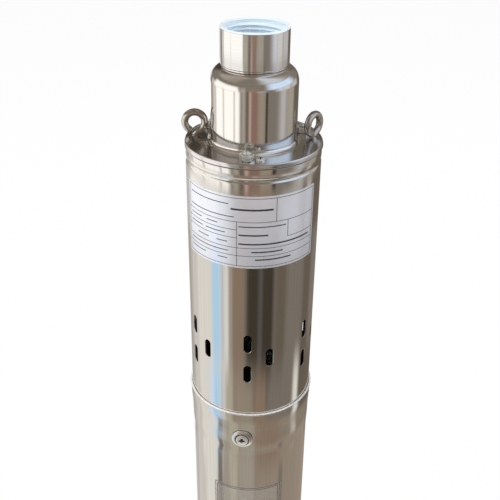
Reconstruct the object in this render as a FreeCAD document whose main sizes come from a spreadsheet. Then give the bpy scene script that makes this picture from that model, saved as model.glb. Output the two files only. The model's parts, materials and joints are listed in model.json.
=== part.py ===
import FreeCAD, Part
import math
import os
import re
import Sketcher

# A borehole submersible pump: a single-screw pump on top of its oil-filled motor, in one
# slim tubular body. The origin is at the middle of the base, +Z runs up the pump's axis
# to the outlet, and the photographed front looks along -Y. Lengths are millimetres and
# angles degrees. An azimuth is counted from the front, positive towards +X.

SIZES = {
    # Motor casing, a drawn tube with a rolled lower edge and a flared upper edge
    "motor_radius": 37.8,
    "motor_wall": 0.8,
    "motor_length": 330.0,
    "base_roll": 2.5,
    "base_lip": 4.2,
    "flare_land": 4.0,
    "flare_taper": 5.0,
    "flare_gap": 0.1,
    "lip_height": 1.4,
    "lip_bulge": 0.5,
    # Pump casing, a tube with a rolled groove and inlet slots
    "casing_step": 0.2,
    "casing_wall": 0.8,
    "lip_to_rim": 165.6,
    "casing_insertion": 3.6,
    "rim_to_groove": 9.8,
    "groove_depth": 0.75,
    "groove_width": 3.2,
    "slot_width": 4.2,
    "slot_length": 12.3,
    "slot_azimuth": -1.8,
    "slot_stagger": 20.0,
    "slot_columns": 6,
    "rim_to_upper_slots": 113.5,
    "rim_to_middle_slots": 123.9,
    "rim_to_lower_slots": 135.3,
    # Discharge head: a flat plate with a raised rim, and a drawn neck
    "rim_overhang": 0.6,
    "rim_inset": 0.46,
    "rim_height": 2.7,
    "plate_recess": 0.6,
    "plate_thickness": 3.4,
    "plate_width": 13.3,
    "neck_wall": 1.5,
    "neck_height": 41.1,
    "neck_shoulder": 5.0,
    "neck_fillet": 2.8,
    "neck_foot": 0.2,
    "boss_depth": 2.5,
    "rim_seal_thickness": 0.6,
    # Outlet socket, bored to the core of a one inch pipe thread
    "shoulder_margin": 0.4,
    "socket_wall": 3.35,
    "socket_height": 20.5,
    "mouth_chamfer": 1.4,
    "edge_break": 0.5,
    "spigot_wall": 1.65,
    # Studs, nuts, screw and grommet on the plate
    "stud_count": 3,
    "stud_azimuth": -5.5,
    "stud_radius": 2.0,
    "stud_rise": 2.9,
    "nut_flats": 7.0,
    "nut_height": 3.2,
    "nut_clearance": 0.1,
    "plate_screw_azimuth": 7.9,
    "plate_screw_radius": 1.25,
    "plate_screw_head": 2.05,
    "plate_screw_head_height": 1.7,
    "plate_screw_crown": 1.0,
    "plate_screw_dome": 5.1,
    "plate_screw_length": 7.0,
    "plate_screw_clearance": 2.7,
    "grommet_flange": 4.5,
    "grommet_flange_height": 1.5,
    "grommet_hole": 4.0,
    "cord_bore": 3.3,
    # Eye bolts, bent from wire
    "left_eye_azimuth": -98.0,
    "left_eye_turn": 4.0,
    "right_eye_azimuth": 97.0,
    "right_eye_turn": 51.0,
    "eye_ring_radius": 5.8,
    "eye_wire_radius": 1.7,
    "eye_bend_opening": 15.0,
    "eye_end_opening": 22.0,
    "eye_seat_gap": 0.2,
    "eye_thread_length": 5.6,
    "eye_nut_flats": 7.0,
    "eye_nut_height": 3.2,
    "eye_nut_clearance": 0.4,
    # Stator: a rubber lining in a steel sleeve, hung from the head
    "gasket_thickness": 2.5,
    "sleeve_step": 1.1,
    "sleeve_wall": 1.5,
    "sleeve_flange_width": 2.4,
    "rim_to_stator_end": 92.0,
    "rubber_setback": 3.0,
    "clamp_gap": 0.1,
    "clamp_thickness": 6.0,
    "guide_thickness": 5.0,
    "guide_setback": 3.0,
    "guide_hole_radius": 3.0,
    "guide_hole_count": 6,
    # Screw rotor and the drive to it
    "rotor_section_radius": 9.0,
    "eccentricity": 3.0,
    "rotor_pitch": 30.0,
    "rotor_overhang": 2.0,
    "screw_clearance": 0.25,
    "shank_wall": 2.5,
    "shank_length": 16.0,
    "shank_to_pivot": 9.5,
    "joint_play": 0.9,
    "joint_end_gap": 1.5,
    "rod_radius": 3.5,
    "rod_head_radius": 4.6,
    "rod_head_half": 6.0,
    "pin_play": 0.75,
    "pin_radius": 1.75,
    "pin_inset": 0.3,
    "boot_gap": 0.3,
    "boot_wall": 1.5,
    "boot_above_pivot": 5.0,
    "boot_below_pivot": 12.0,
    "boot_lip_play": 2.3,
    "pivot_above_bell": 23.0,
    "coupling_wall": 4.0,
    "coupling_foot": 4.6,
    "coupling_above_pivot": 10.0,
    "coupling_web": 1.5,
    # End bells, which carry the bearings
    "bell_height": 36.0,
    "bell_drop": 0.5,
    "bell_rim_width": 8.5,
    "bell_skirt_width": 4.0,
    "bell_top_recess": 10.0,
    "bell_bottom_recess": 6.0,
    "hub_wall": 3.4,
    "seal_step": 4.0,
    "bell_web": 2.0,
    "web_gap": 1.0,
    "lead_azimuth": 180.0,
    "lead_hole": 3.2,
    "lead_bore": 2.0,
    "lead_flange": 3.9,
    "lead_flange_height": 1.5,
    "plug_azimuth": 60.0,
    "plug_radius": 3.0,
    "plug_head_radius": 4.2,
    "plug_head_height": 2.0,
    "plug_length": 9.0,
    "plug_socket_flats": 3.0,
    "plug_socket_depth": 1.5,
    "ring_groove_width": 2.2,
    "ring_groove_depth": 1.6,
    "upper_ring_drop": 16.0,
    "ring_spacing": 8.0,
    "lower_bell_level": 30.0,
    "lower_bell_height": 26.0,
    "lower_bell_floor": 14.0,
    "lower_wall_width": 8.0,
    "shaft_pocket_depth": 4.0,
    "shaft_pocket_gap": 1.0,
    "washer_thickness": 1.5,
    "washer_width": 5.0,
    "lower_ring_rise": 6.0,
    "oil_hole_radius": 2.0,
    "oil_hole_count": 2,
    # Mechanical seal and sand slinger
    "seat_gap": 1.2,
    "seat_height": 6.0,
    "face_play": 2.0,
    "face_height": 4.5,
    "face_gap": 0.02,
    "spring_gap": 2.0,
    "spring_wire": 0.6,
    "spring_pitch": 1.9,
    "collar_play": 1.5,
    "collar_height": 2.6,
    "collar_drop": 2.0,
    "slinger_radius": 17.0,
    "slinger_lift": 1.0,
    "slinger_height": 3.2,
    "slinger_dish": 1.2,
    # Shaft, bearings and the motor's active parts
    "journal_radius": 7.5,
    "seal_shaft_radius": 7.0,
    "core_shaft_radius": 9.0,
    "shaft_end_gap": 1.0,
    "bearing_inset": 0.99,
    "bearing_width": 11.0,
    "ball_radius": 3.0,
    "ball_count": 8,
    "ball_gap": 0.05,
    "race_land": 2.2,
    "cage_thickness": 1.2,
    "cage_width": 7.6,
    "cage_pocket_gap": 0.3,
    "winding_gap": 8.0,
    "end_turn_height": 22.0,
    "end_turn_spread": 4.0,
    "end_turn_round": 4.0,
    "stack_length": 140.0,
    "core_radius": 17.0,
    "air_gap": 0.4,
    "cage_ring_height": 8.0,
    "cage_ring_gap": 1.0,
    "cage_ring_step": 0.5,
    "tooth_count": 12,
    "tooth_mouth": 1.0,
    "tooth_tip": 2.6,
    "tooth_flare": 0.9,
    "yoke_width": 7.48,
    "tooth_inner_half": 2.6,
    "tooth_outer_half": 3.7,
    "slot_liner": 0.3,
    # Radial casing screws in cup washers
    "lip_to_screws": 20.4,
    "lower_screw_rise": 19.0,
    "screw_azimuth": -6.0,
    "screw_count": 3,
    "screw_radius": 2.5,
    "screw_reach": 8.5,
    "screw_head_radius": 4.05,
    "screw_dome": 1.1,
    "screw_dome_edge": 0.9,
    "screw_flank_drop": 2.0,
    "screw_hole_gap": 0.2,
    "cup_play": 0.4,
    "cup_lip": 1.0,
    "cup_flare": 1.55,
    "cup_height": 2.0,
    "cup_edge": 0.5,
    # Bottom cap and diaphragm
    "cap_floor": 4.0,
    "cap_wall": 4.0,
    "cap_chamfer": 1.9,
    "cap_pad_gap": 0.4,
    "vent_radius": 2.0,
    "vent_circle": 15.0,
    "vent_count": 4,
    "diaphragm_wall": 1.5,
    "diaphragm_depth": 13.0,
    "diaphragm_rim": 12.98,
    "diaphragm_slope": 7.0,
    # Clearances between fixed pieces, and how far a cutting tool runs past the work
    "fit_gap": 0.1,
    "casing_fit": 0.02,
    "thread_gap": 0.05,
    "cut_margin": 2.0,
}

# Sizes and levels that follow from the ones above.
RULES = {
    "pump_radius": "motor_radius + casing_step",
    "pump_inner": "pump_radius - casing_wall",
    "neck_radius": "pump_inner - plate_width",
    "socket_radius": "neck_radius - neck_shoulder - shoulder_margin",
    "outlet_bore": "socket_radius - socket_wall",
    "rim_outer_radius": "pump_radius + rim_overhang",
    "rim_inner_radius": "pump_radius - rim_inset",
    "sleeve_radius": "neck_radius + sleeve_step",
    "rim_level": "motor_length + lip_to_rim",
    "neck_top": "rim_level + neck_height",
    "flare_radius": "pump_radius + flare_gap + motor_wall",
    "flare_step": "flare_radius - motor_radius",
    "flare_bend": "(flare_taper^2 + flare_step^2) / (4 * flare_step)",
    "lip_arc": "(lip_height^2 / 4 + lip_bulge^2) / (2 * lip_bulge)",
    "motor_inner": "motor_radius - motor_wall",
    "bell_fit_radius": "motor_inner - casing_fit",
    "spigot_radius": "outlet_bore + spigot_wall",
    "boss_radius": "sleeve_radius + sleeve_flange_width",
    "plate_start": "neck_radius + neck_fillet",
    "stud_circle": "plate_start + nut_flats / 2 + nut_clearance",
    "plate_screw_circle": "plate_start + plate_screw_head + plate_screw_clearance",
    "grommet_circle": "(boss_radius + pump_inner) / 2",
    "eye_circle": "pump_inner - eye_nut_flats / 2 - eye_nut_clearance",
    "rim_round": "(rim_outer_radius - rim_inner_radius) / 2",
    "plate_bottom": "-(plate_recess + plate_thickness)",
    "gasket_top": "plate_bottom - boss_depth",
    "sleeve_top": "gasket_top - gasket_thickness",
    "casing_top": "-(rim_height + rim_seal_thickness)",
    "groove_arc": "(groove_width^2 / 4 + groove_depth^2) / (2 * groove_depth)",
    "bead_arc": "groove_arc + casing_wall",
    "bead_half": "sqrt(bead_arc^2 - (groove_arc - groove_depth + casing_wall)^2)",
    "clamp_top": "-(rim_to_groove + bead_half + clamp_gap)",
    "eye_height": "-plate_recess + eye_seat_gap + eye_ring_radius + eye_wire_radius",
    "eye_bend": "eye_ring_radius * sin(eye_bend_opening) / (1 - sin(eye_bend_opening))",
    "eye_shank_top": "-(eye_ring_radius + eye_bend) * cos(eye_bend_opening)",
    "eye_shank_end": "plate_bottom - eye_thread_length - eye_height",
    "rotor_start": "rim_level - rim_to_stator_end - rotor_overhang",
    "rotor_length": "rim_to_stator_end + rotor_overhang + sleeve_top",
    "rubber_length": "rim_to_stator_end + sleeve_top - rubber_setback",
    "upper_pivot": "rotor_start - shank_to_pivot",
    "bell_top": "motor_length - flare_land - flare_taper - bell_drop",
    "lower_pivot": "bell_top + pivot_above_bell",
    "joint_bore": "rod_head_radius + joint_play",
    "shank_radius": "joint_bore + shank_wall",
    "coupling_radius": "joint_bore + coupling_wall",
    "rod_eye_radius": "pin_radius + pin_play",
    "boot_lip_radius": "rod_radius + boot_lip_play",
    "pivot_rise": "upper_pivot - lower_pivot",
    "rod_span": "sqrt(pivot_rise^2 + eccentricity^2)",
    "coupling_bore_floor": "pivot_above_bell - rod_head_half - joint_end_gap",
    "web_bore": "journal_radius + web_gap",
    "shaft_pocket_radius": "journal_radius + shaft_pocket_gap",
    "bearing_radius": "bell_fit_radius / 2 - bearing_inset",
    "seal_chamber_radius": "bearing_radius - seal_step",
    "face_radius": "seal_chamber_radius - face_play",
    "collar_radius": "seal_chamber_radius - collar_play",
    "seal_hub_radius": "seal_chamber_radius + hub_wall",
    "bell_rim_radius": "bell_fit_radius - bell_rim_width",
    "port_circle": "(seal_hub_radius + bell_rim_radius) / 2",
    "seat_bore": "seal_shaft_radius + seat_gap",
    "spring_radius": "seal_shaft_radius + spring_gap + spring_wire",
    "seat_floor": "-(bell_height - bearing_width - bell_web)",
    "face_floor": "seat_floor + seat_height + face_gap",
    "spring_floor": "face_floor + face_height + spring_wire",
    "spring_room": "-collar_drop - collar_height - spring_wire - spring_floor",
    "ring_wire": "(ring_groove_depth + casing_fit) / 2",
    "bearing_floor": "lower_bell_height - bearing_width",
    "upper_bearing_middle": "bell_top - bell_height + bearing_width / 2",
    "lower_bearing_middle": "lower_bell_level + lower_bell_height - bearing_width / 2",
    "lower_bell_top": "lower_bell_level + lower_bell_height",
    "ball_circle": "(journal_radius + bearing_radius) / 2",
    "race_radius": "ball_radius + ball_gap",
    "race_half": "sqrt(race_radius^2 - race_land^2)",
    "stack_bottom": "lower_bell_top + winding_gap + end_turn_height",
    "stator_bore": "core_radius + air_gap",
    "cage_ring_inner": "core_shaft_radius + cage_ring_gap",
    "tooth_neck": "stator_bore + tooth_tip",
    "tooth_slot_start": "tooth_neck + tooth_flare",
    "tooth_slot_end": "bell_fit_radius - yoke_width",
    "end_turn_inner": "tooth_slot_start",
    "end_turn_outer": "tooth_slot_end + end_turn_spread",
    "oil_hole_circle": "(bearing_radius + hub_wall + bell_fit_radius - lower_wall_width) / 2",
    "diaphragm_mouth_radius": "bell_fit_radius - diaphragm_rim",
    "diaphragm_floor_radius": "diaphragm_mouth_radius - diaphragm_slope",
    "cup_crown_radius": "screw_head_radius + cup_lip",
    "cup_radius": "cup_crown_radius + cup_flare",
    "upper_screw_level": "motor_length - lip_to_screws",
    "lower_screw_level": "lower_bell_level + lower_screw_rise",
    "screw_hole": "screw_radius + screw_hole_gap",
}

doc = FreeCAD.newDocument("borehole_pump")
sheet = doc.addObject("Spreadsheet::Sheet", "Sizes")


def fill_sheet():
    """Write every driving size into the sheet under its own alias."""
    for row, (name, value) in enumerate(SIZES.items(), start=1):
        sheet.set(f"A{row}", name)
        sheet.set(f"B{row}", str(value))
        sheet.setAlias(f"B{row}", name)
    doc.recompute()


def link(formula):
    """Spell a formula of size names as an expression on the sheet."""
    def spell(match):
        word = match.group(0)
        if word in RULES:
            return "(" + link(RULES[word]) + ")"
        if word in SIZES:
            return "Sizes." + word
        return word
    return re.sub(r"[A-Za-z_]+", spell, formula)


def value_of(formula):
    """The present value of a formula of size names."""
    result = sheet.evalExpression(link(formula))
    return float(getattr(result, "Value", result))


def bind(item, prop, formula):
    """Bind one property of an object to a formula of size names."""
    item.setExpression(prop, link(formula))


# Places around the axis


def across(radius, azimuth):
    """The X of a point at a radius and an azimuth from the front."""
    return f"(({radius}) * sin({azimuth}))"


def along(radius, azimuth):
    """The Y of a point at a radius and an azimuth from the front."""
    return f"(-({radius}) * cos({azimuth}))"


# Bodies and sketches


def new_body(label, level="0", x="0", y="0"):
    """A named body whose own origin lies at a place given by formulas."""
    body = doc.addObject("PartDesign::Body", label)
    body.Label = label
    place(body, level, x, y)
    return body


def place(item, level, x="0", y="0"):
    """Bind an object's origin to a place."""
    bind(item, "Placement.Base.x", x)
    bind(item, "Placement.Base.y", y)
    bind(item, "Placement.Base.z", level)


def turn_about(item, axis, angle):
    """Turn an object about an axis through its own origin."""
    item.Placement = FreeCAD.Placement(item.Placement.Base, FreeCAD.Rotation(axis, value_of(angle)))
    bind(item, "Placement.Rotation.Angle", angle)


def datum(body, role):
    """One of a body's origin planes or axes."""
    return next(item for item in body.Origin.OriginFeatures if item.Role == role)


def new_sketch(body, name, role="XZ_Plane", level=None):
    """A sketch on one of the body's own planes, lifted along its normal if asked."""
    sketch = body.newObject("Sketcher::SketchObject", name)
    sketch.AttachmentSupport = [(datum(body, role), "")]
    sketch.MapMode = "FlatFace"
    if level is not None:
        bind(sketch, "AttachmentOffset.Base.z", level)
    return sketch


def facing_sketch(body, name, azimuth, reach, level="0"):
    """A sketch that faces outward at an azimuth, at a distance from the axis."""
    sketch = new_sketch(body, name)
    upright = FreeCAD.Vector(0, 1, 0)
    turn = FreeCAD.Rotation(upright, value_of(azimuth))
    sketch.AttachmentOffset = FreeCAD.Placement(FreeCAD.Vector(), turn)
    bind(sketch, "AttachmentOffset.Rotation.Angle", azimuth)
    bind(sketch, "AttachmentOffset.Base.x", f"({reach}) * sin({azimuth})")
    bind(sketch, "AttachmentOffset.Base.y", level)
    bind(sketch, "AttachmentOffset.Base.z", f"({reach}) * cos({azimuth})")
    return sketch


def radial_sketch(body, name, azimuth, level):
    """A sketch in an upright plane through the axis, whose X runs outward at an azimuth."""
    return facing_sketch(body, name, f"{azimuth} - 90", "0", level)


def pin_point(sketch, geometry, spot, x, y):
    """Hold a sketch point at a place given by formulas."""
    for kind, formula, axis in (("DistanceX", x, -2), ("DistanceY", y, -1)):
        if formula == "0":
            sketch.addConstraint(Sketcher.Constraint("PointOnObject", geometry, spot, axis))
            continue
        distance = Sketcher.Constraint(kind, -1, 1, geometry, spot, value_of(formula))
        index = sketch.addConstraint(distance)
        bind(sketch, f"Constraints[{index}]", formula)


def draw_circle(sketch, x, y, radius):
    """A circle with its centre and radius bound."""
    centre = FreeCAD.Vector(value_of(x), value_of(y), 0)
    circle = Part.Circle(centre, FreeCAD.Vector(0, 0, 1), value_of(radius))
    geometry = sketch.addGeometry(circle)
    index = sketch.addConstraint(Sketcher.Constraint("Radius", geometry, value_of(radius)))
    bind(sketch, f"Constraints[{index}]", radius)
    pin_point(sketch, geometry, 3, x, y)


def arc_between(start, end, radius, turn):
    """A minor arc from one point to the next, bending left or right."""
    chord = end - start
    half = chord.Length / 2
    left = FreeCAD.Vector(-chord.y, chord.x, 0).normalize()
    offset = math.sqrt(max(radius * radius - half * half, 0.0))
    side = 1.0 if turn == "left" else -1.0
    centre = (start + end) * 0.5 + left * (side * offset)
    circle = Part.Circle(centre, FreeCAD.Vector(0, 0, 1), radius)
    first, last = (start, end) if turn == "left" else (end, start)
    return Part.ArcOfCircle(circle, circle.parameter(first), circle.parameter(last))


def draw_outline(sketch, points, closed=True):
    """Join points by lines, or by arcs where a point names a radius and a turn."""
    places = [FreeCAD.Vector(value_of(point[0]), value_of(point[1]), 0) for point in points]
    count = len(points) if closed else len(points) - 1
    ends = []
    for number in range(count):
        start = places[number]
        end = places[(number + 1) % len(points)]
        if len(points[number]) == 2:
            geometry = sketch.addGeometry(Part.LineSegment(start, end))
            ends.append((geometry, 1, 2))
            continue
        radius, turn = points[number][2:]
        geometry = sketch.addGeometry(arc_between(start, end, value_of(radius), turn))
        ends.append((geometry, 1, 2) if turn == "left" else (geometry, 2, 1))
    for number in range(count if closed else count - 1):
        here = ends[number]
        following = ends[(number + 1) % count]
        joint = Sketcher.Constraint("Coincident", here[0], here[2], following[0], following[1])
        sketch.addConstraint(joint)
    for number, (geometry, first, last) in enumerate(ends):
        pin_point(sketch, geometry, first, points[number][0], points[number][1])
        if len(points[number]) > 2:
            radius = points[number][2]
            limit = Sketcher.Constraint("Radius", geometry, value_of(radius))
            bind(sketch, f"Constraints[{sketch.addConstraint(limit)}]", radius)
    if not closed:
        geometry, first, last = ends[-1]
        pin_point(sketch, geometry, last, points[-1][0], points[-1][1])


def draw_slot(sketch, width, length):
    """An upright slot with round ends, centred on the sketch's origin."""
    end = f"(({length}) - ({width})) / 2"
    half = f"({width}) / 2"
    draw_outline(sketch, [
        (half, f"-({end})"),
        (half, end, half, "left"),
        ("0", f"({end}) + {half}", half, "left"),
        (f"-({half})", end),
        (f"-({half})", f"-({end})", half, "left"),
        ("0", f"-({end}) - {half}", half, "left"),
    ])


def draw_hexagon(sketch, x, y, flats, azimuth="0"):
    """A hexagon of a width across its flats, one of which faces an azimuth."""
    points = []
    for corner in range(6):
        angle = f"({azimuth} + {60 * corner})"
        reach = f"({flats}) / sqrt(3)"
        points.append((f"{x} + {reach} * cos{angle}", f"{y} + {reach} * sin{angle}"))
    draw_outline(sketch, points)


# Features


def spin(body, sketch, axis="V_Axis"):
    """Turn a sketch right round about one of its axes."""
    feature = body.newObject("PartDesign::Revolution", sketch.Name + "_spin")
    feature.Profile = sketch
    feature.ReferenceAxis = (sketch, [axis])
    feature.Angle = 360.0
    sketch.Visibility = False
    return feature


def pad(body, sketch, length, symmetric=False):
    """Extrude a sketch along its normal."""
    feature = body.newObject("PartDesign::Pad", sketch.Name + "_pad")
    feature.Profile = sketch
    feature.Midplane = symmetric
    feature.Length = value_of(length)
    bind(feature, "Length", length)
    return feature


def cut(body, sketch, length=None):
    """Cut a sketch against its normal to a depth, or both ways through everything."""
    feature = body.newObject("PartDesign::Pocket", sketch.Name + "_cut")
    feature.Profile = sketch
    if length is None:
        feature.Type = "ThroughAll"
        feature.Midplane = True
        return feature
    feature.Length = value_of(length)
    bind(feature, "Length", length)
    return feature


def ring_of(body, features, count):
    """Repeat features evenly round the body's own Z axis."""
    pattern = body.newObject("PartDesign::PolarPattern", features[0].Name + "_ring")
    pattern.Originals = features
    pattern.Axis = (datum(body, "Z_Axis"), [""])
    pattern.Angle = 360.0
    bind(pattern, "Occurrences", count)
    body.Tip = pattern
    return pattern


def turned(label, level, points, x="0", y="0"):
    """A piece turned about an upright axis from one closed outline."""
    body = new_body(label, level, x, y)
    sketch = new_sketch(body, label + "_outline")
    draw_outline(sketch, points)
    spin(body, sketch)
    return body


def turned_rings(label, level, rings):
    """Rings of round wire, each given by its radius, height and wire radius."""
    body = new_body(label, level)
    sketch = new_sketch(body, label + "_wires")
    for radius, height, wire in rings:
        draw_circle(sketch, radius, height, wire)
    spin(body, sketch)
    return body


def bored(inner, outer, bottom, top):
    """The outline of a plain ring."""
    return [(inner, bottom), (outer, bottom), (outer, top), (inner, top)]


def drill(body, name, x, y, radius):
    """A hole right through, parallel to the axis."""
    sketch = new_sketch(body, name, "XY_Plane")
    draw_circle(sketch, x, y, radius)
    return cut(body, sketch)


# Head


def make_outlet_socket():
    """The threaded socket that is welded on top of the neck."""
    turned("outlet_socket", "neck_top", [
        ("outlet_bore", "-neck_wall"),
        ("spigot_radius", "-neck_wall"),
        ("spigot_radius", "0"),
        ("socket_radius", "0"),
        ("socket_radius", "socket_height - edge_break"),
        ("socket_radius - edge_break", "socket_height"),
        ("outlet_bore + mouth_chamfer", "socket_height"),
        ("outlet_bore", "socket_height - mouth_chamfer"),
    ])


def make_discharge_neck():
    """The drawn neck, which is let into the plate and fills out into a foot on top of it."""
    foot_top = "(-plate_recess + neck_foot)"
    turned("discharge_neck", "rim_level", [
        ("neck_radius - neck_wall", "gasket_top"),
        ("neck_radius", "gasket_top"),
        ("neck_radius", "-plate_recess"),
        ("plate_start", "-plate_recess"),
        ("plate_start", foot_top, "neck_fillet", "right"),
        ("neck_radius", f"{foot_top} + neck_fillet"),
        ("neck_radius", "neck_height - neck_shoulder", "neck_shoulder", "left"),
        ("neck_radius - neck_shoulder", "neck_height"),
        ("spigot_radius + fit_gap", "neck_height"),
        ("spigot_radius + fit_gap", "neck_height - neck_wall"),
        ("neck_radius - neck_shoulder", "neck_height - neck_wall", "neck_shoulder - neck_wall", "right"),
        ("neck_radius - neck_wall", "neck_height - neck_shoulder"),
    ])


def make_head_plate():
    """The plate with its raised rim, the boss under it, and its holes."""
    body = turned("head_plate", "rim_level", [
        ("neck_radius + fit_gap", "gasket_top"),
        ("boss_radius", "gasket_top"),
        ("boss_radius", "plate_bottom"),
        ("pump_inner - fit_gap", "plate_bottom"),
        ("pump_inner - fit_gap", "-rim_height"),
        ("rim_outer_radius", "-rim_height"),
        ("rim_outer_radius", "-rim_round", "rim_round", "left"),
        ("rim_outer_radius - rim_round", "0", "rim_round", "left"),
        ("rim_inner_radius", "-rim_round"),
        ("rim_inner_radius", "-plate_recess"),
        ("neck_radius + fit_gap", "-plate_recess"),
    ])
    x = across("stud_circle", "stud_azimuth")
    y = along("stud_circle", "stud_azimuth")
    hole = drill(body, "stud_hole", x, y, "stud_radius + fit_gap")
    ring_of(body, [hole], "stud_count")
    for side in ("left", "right"):
        azimuth = f"{side}_eye_azimuth"
        x = across("eye_circle", azimuth)
        y = along("eye_circle", azimuth)
        drill(body, f"{side}_eye_hole", x, y, "eye_wire_radius + fit_gap")
    x = across("plate_screw_circle", "plate_screw_azimuth")
    y = along("plate_screw_circle", "plate_screw_azimuth")
    drill(body, "plate_screw_hole", x, y, "plate_screw_radius + thread_gap")
    drill(body, "grommet_seat", "0", "grommet_circle", "grommet_hole + thread_gap")


def make_rim_seal():
    """The thin rubber ring between the head's rim and the pump casing."""
    turned("rim_seal", "rim_level", bored(
        "pump_inner - thread_gap", "pump_radius - fit_gap", "casing_top", "-rim_height"))


def make_head_studs():
    """The studs that stand in the clamp ring and draw it up to the head."""
    body = new_body("head_studs", "rim_level")
    sketch = new_sketch(body, "stud_section", "XY_Plane", "clamp_top - clamp_thickness")
    x = across("stud_circle", "stud_azimuth")
    y = along("stud_circle", "stud_azimuth")
    draw_circle(sketch, x, y, "stud_radius")
    top = "-plate_recess + nut_height + stud_rise"
    bar = pad(body, sketch, f"{top} - (clamp_top - clamp_thickness)")
    ring_of(body, [bar], "stud_count")


def make_head_nuts():
    """The hexagon nuts on the studs."""
    body = new_body("head_nuts", "rim_level - plate_recess")
    sketch = new_sketch(body, "nut_section", "XY_Plane")
    x = across("stud_circle", "stud_azimuth")
    y = along("stud_circle", "stud_azimuth")
    draw_hexagon(sketch, x, y, "nut_flats", "stud_azimuth")
    draw_circle(sketch, x, y, "stud_radius + thread_gap")
    nut = pad(body, sketch, "nut_height")
    ring_of(body, [nut], "stud_count")


def make_plate_screw():
    """The small round-headed screw beside the front nut."""
    turned("plate_screw", "rim_level - plate_recess", [
        ("0", "-plate_screw_length"),
        ("plate_screw_radius", "-plate_screw_length"),
        ("plate_screw_radius", "0"),
        ("plate_screw_head", "0"),
        ("plate_screw_head", "plate_screw_head_height / 2", "plate_screw_dome", "left"),
        ("plate_screw_crown", "plate_screw_head_height"),
        ("0", "plate_screw_head_height"),
    ], across("plate_screw_circle", "plate_screw_azimuth"),
        along("plate_screw_circle", "plate_screw_azimuth"))


def make_cable_grommet():
    """The rubber grommet behind the neck, where the motor's cable leaves the head."""
    turned("cable_grommet", "rim_level - plate_recess", [
        ("cord_bore", "-plate_thickness - grommet_flange_height"),
        ("grommet_flange", "-plate_thickness - grommet_flange_height"),
        ("grommet_flange", "-plate_thickness"),
        ("grommet_hole", "-plate_thickness"),
        ("grommet_hole", "0"),
        ("grommet_flange", "0"),
        ("grommet_flange - edge_break", "grommet_flange_height"),
        ("cord_bore + edge_break", "grommet_flange_height"),
        ("cord_bore", "grommet_flange_height - edge_break"),
    ], "0", "grommet_circle")


def make_eye_bolt(side):
    """An eye bolt bent from wire: a shank, a bend and an open ring."""
    azimuth = f"{side}_eye_azimuth"
    body = new_body(f"eye_bolt_{side}", "rim_level + eye_height",
                    across("eye_circle", azimuth), along("eye_circle", azimuth))
    turn_about(body, FreeCAD.Vector(0, 0, 1), f"{side}_eye_turn")
    path = new_sketch(body, f"{side}_eye_path")
    ring = "eye_ring_radius"
    draw_outline(path, [
        ("0", "eye_shank_end"),
        ("0", "eye_shank_top", "eye_bend", "right"),
        (f"{ring} * sin(eye_bend_opening)", f"-{ring} * cos(eye_bend_opening)", ring, "left"),
        (ring, "0", ring, "left"),
        ("0", ring, ring, "left"),
        (f"-{ring}", "0", ring, "left"),
        (f"-{ring} * sin(eye_end_opening)", f"-{ring} * cos(eye_end_opening)"),
    ], closed=False)
    section = new_sketch(body, f"{side}_eye_section", "XY_Plane", "eye_shank_end")
    draw_circle(section, "0", "0", "eye_wire_radius")
    wire = body.newObject("PartDesign::AdditivePipe", f"{side}_eye_wire")
    wire.Profile = section
    wire.Spine = (path, [])


def make_eye_bolt_nuts():
    """The nuts that hold the eye bolts from below the plate."""
    body = new_body("eye_bolt_nuts", "rim_level + plate_bottom - eye_nut_height")
    for side in ("left", "right"):
        azimuth = f"{side}_eye_azimuth"
        sketch = new_sketch(body, f"{side}_eye_nut_section", "XY_Plane")
        x = across("eye_circle", azimuth)
        y = along("eye_circle", azimuth)
        draw_hexagon(sketch, x, y, "eye_nut_flats", azimuth)
        draw_circle(sketch, x, y, "eye_wire_radius + thread_gap")
        pad(body, sketch, "eye_nut_height")


# Pump


def make_pump_casing():
    """The pump's tube, with its rolled groove and three rows of inlet slots."""
    groove = "-rim_to_groove"
    foot = "-(lip_to_rim + casing_insertion)"
    body = turned("pump_casing", "rim_level", [
        ("pump_inner", foot),
        ("pump_radius", foot),
        ("pump_radius", f"{groove} - groove_width / 2", "groove_arc", "right"),
        ("pump_radius", f"{groove} + groove_width / 2"),
        ("pump_radius", "casing_top"),
        ("pump_inner", "casing_top"),
        ("pump_inner", f"{groove} + bead_half", "bead_arc", "left"),
        ("pump_inner", f"{groove} - bead_half"),
    ])
    rows = {
        "upper": "slot_azimuth",
        "middle": "slot_azimuth + slot_stagger",
        "lower": "slot_azimuth",
    }
    slots = []
    for row, azimuth in rows.items():
        sketch = facing_sketch(body, f"{row}_slot", azimuth, "pump_radius + cut_margin",
                               f"-rim_to_{row}_slots")
        draw_slot(sketch, "slot_width", "slot_length")
        slots.append(cut(body, sketch, "casing_wall + 2 * cut_margin"))
    ring_of(body, slots, "slot_columns")


def make_clamp_ring():
    """The ring under the rolled groove that the studs stand in."""
    body = turned("clamp_ring", "rim_level", bored(
        "sleeve_radius + fit_gap", "pump_inner - fit_gap", "clamp_top - clamp_thickness", "clamp_top"))
    x = across("stud_circle", "stud_azimuth")
    y = along("stud_circle", "stud_azimuth")
    hole = drill(body, "stud_seat", x, y, "stud_radius + thread_gap")
    ring_of(body, [hole], "stud_count")


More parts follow.
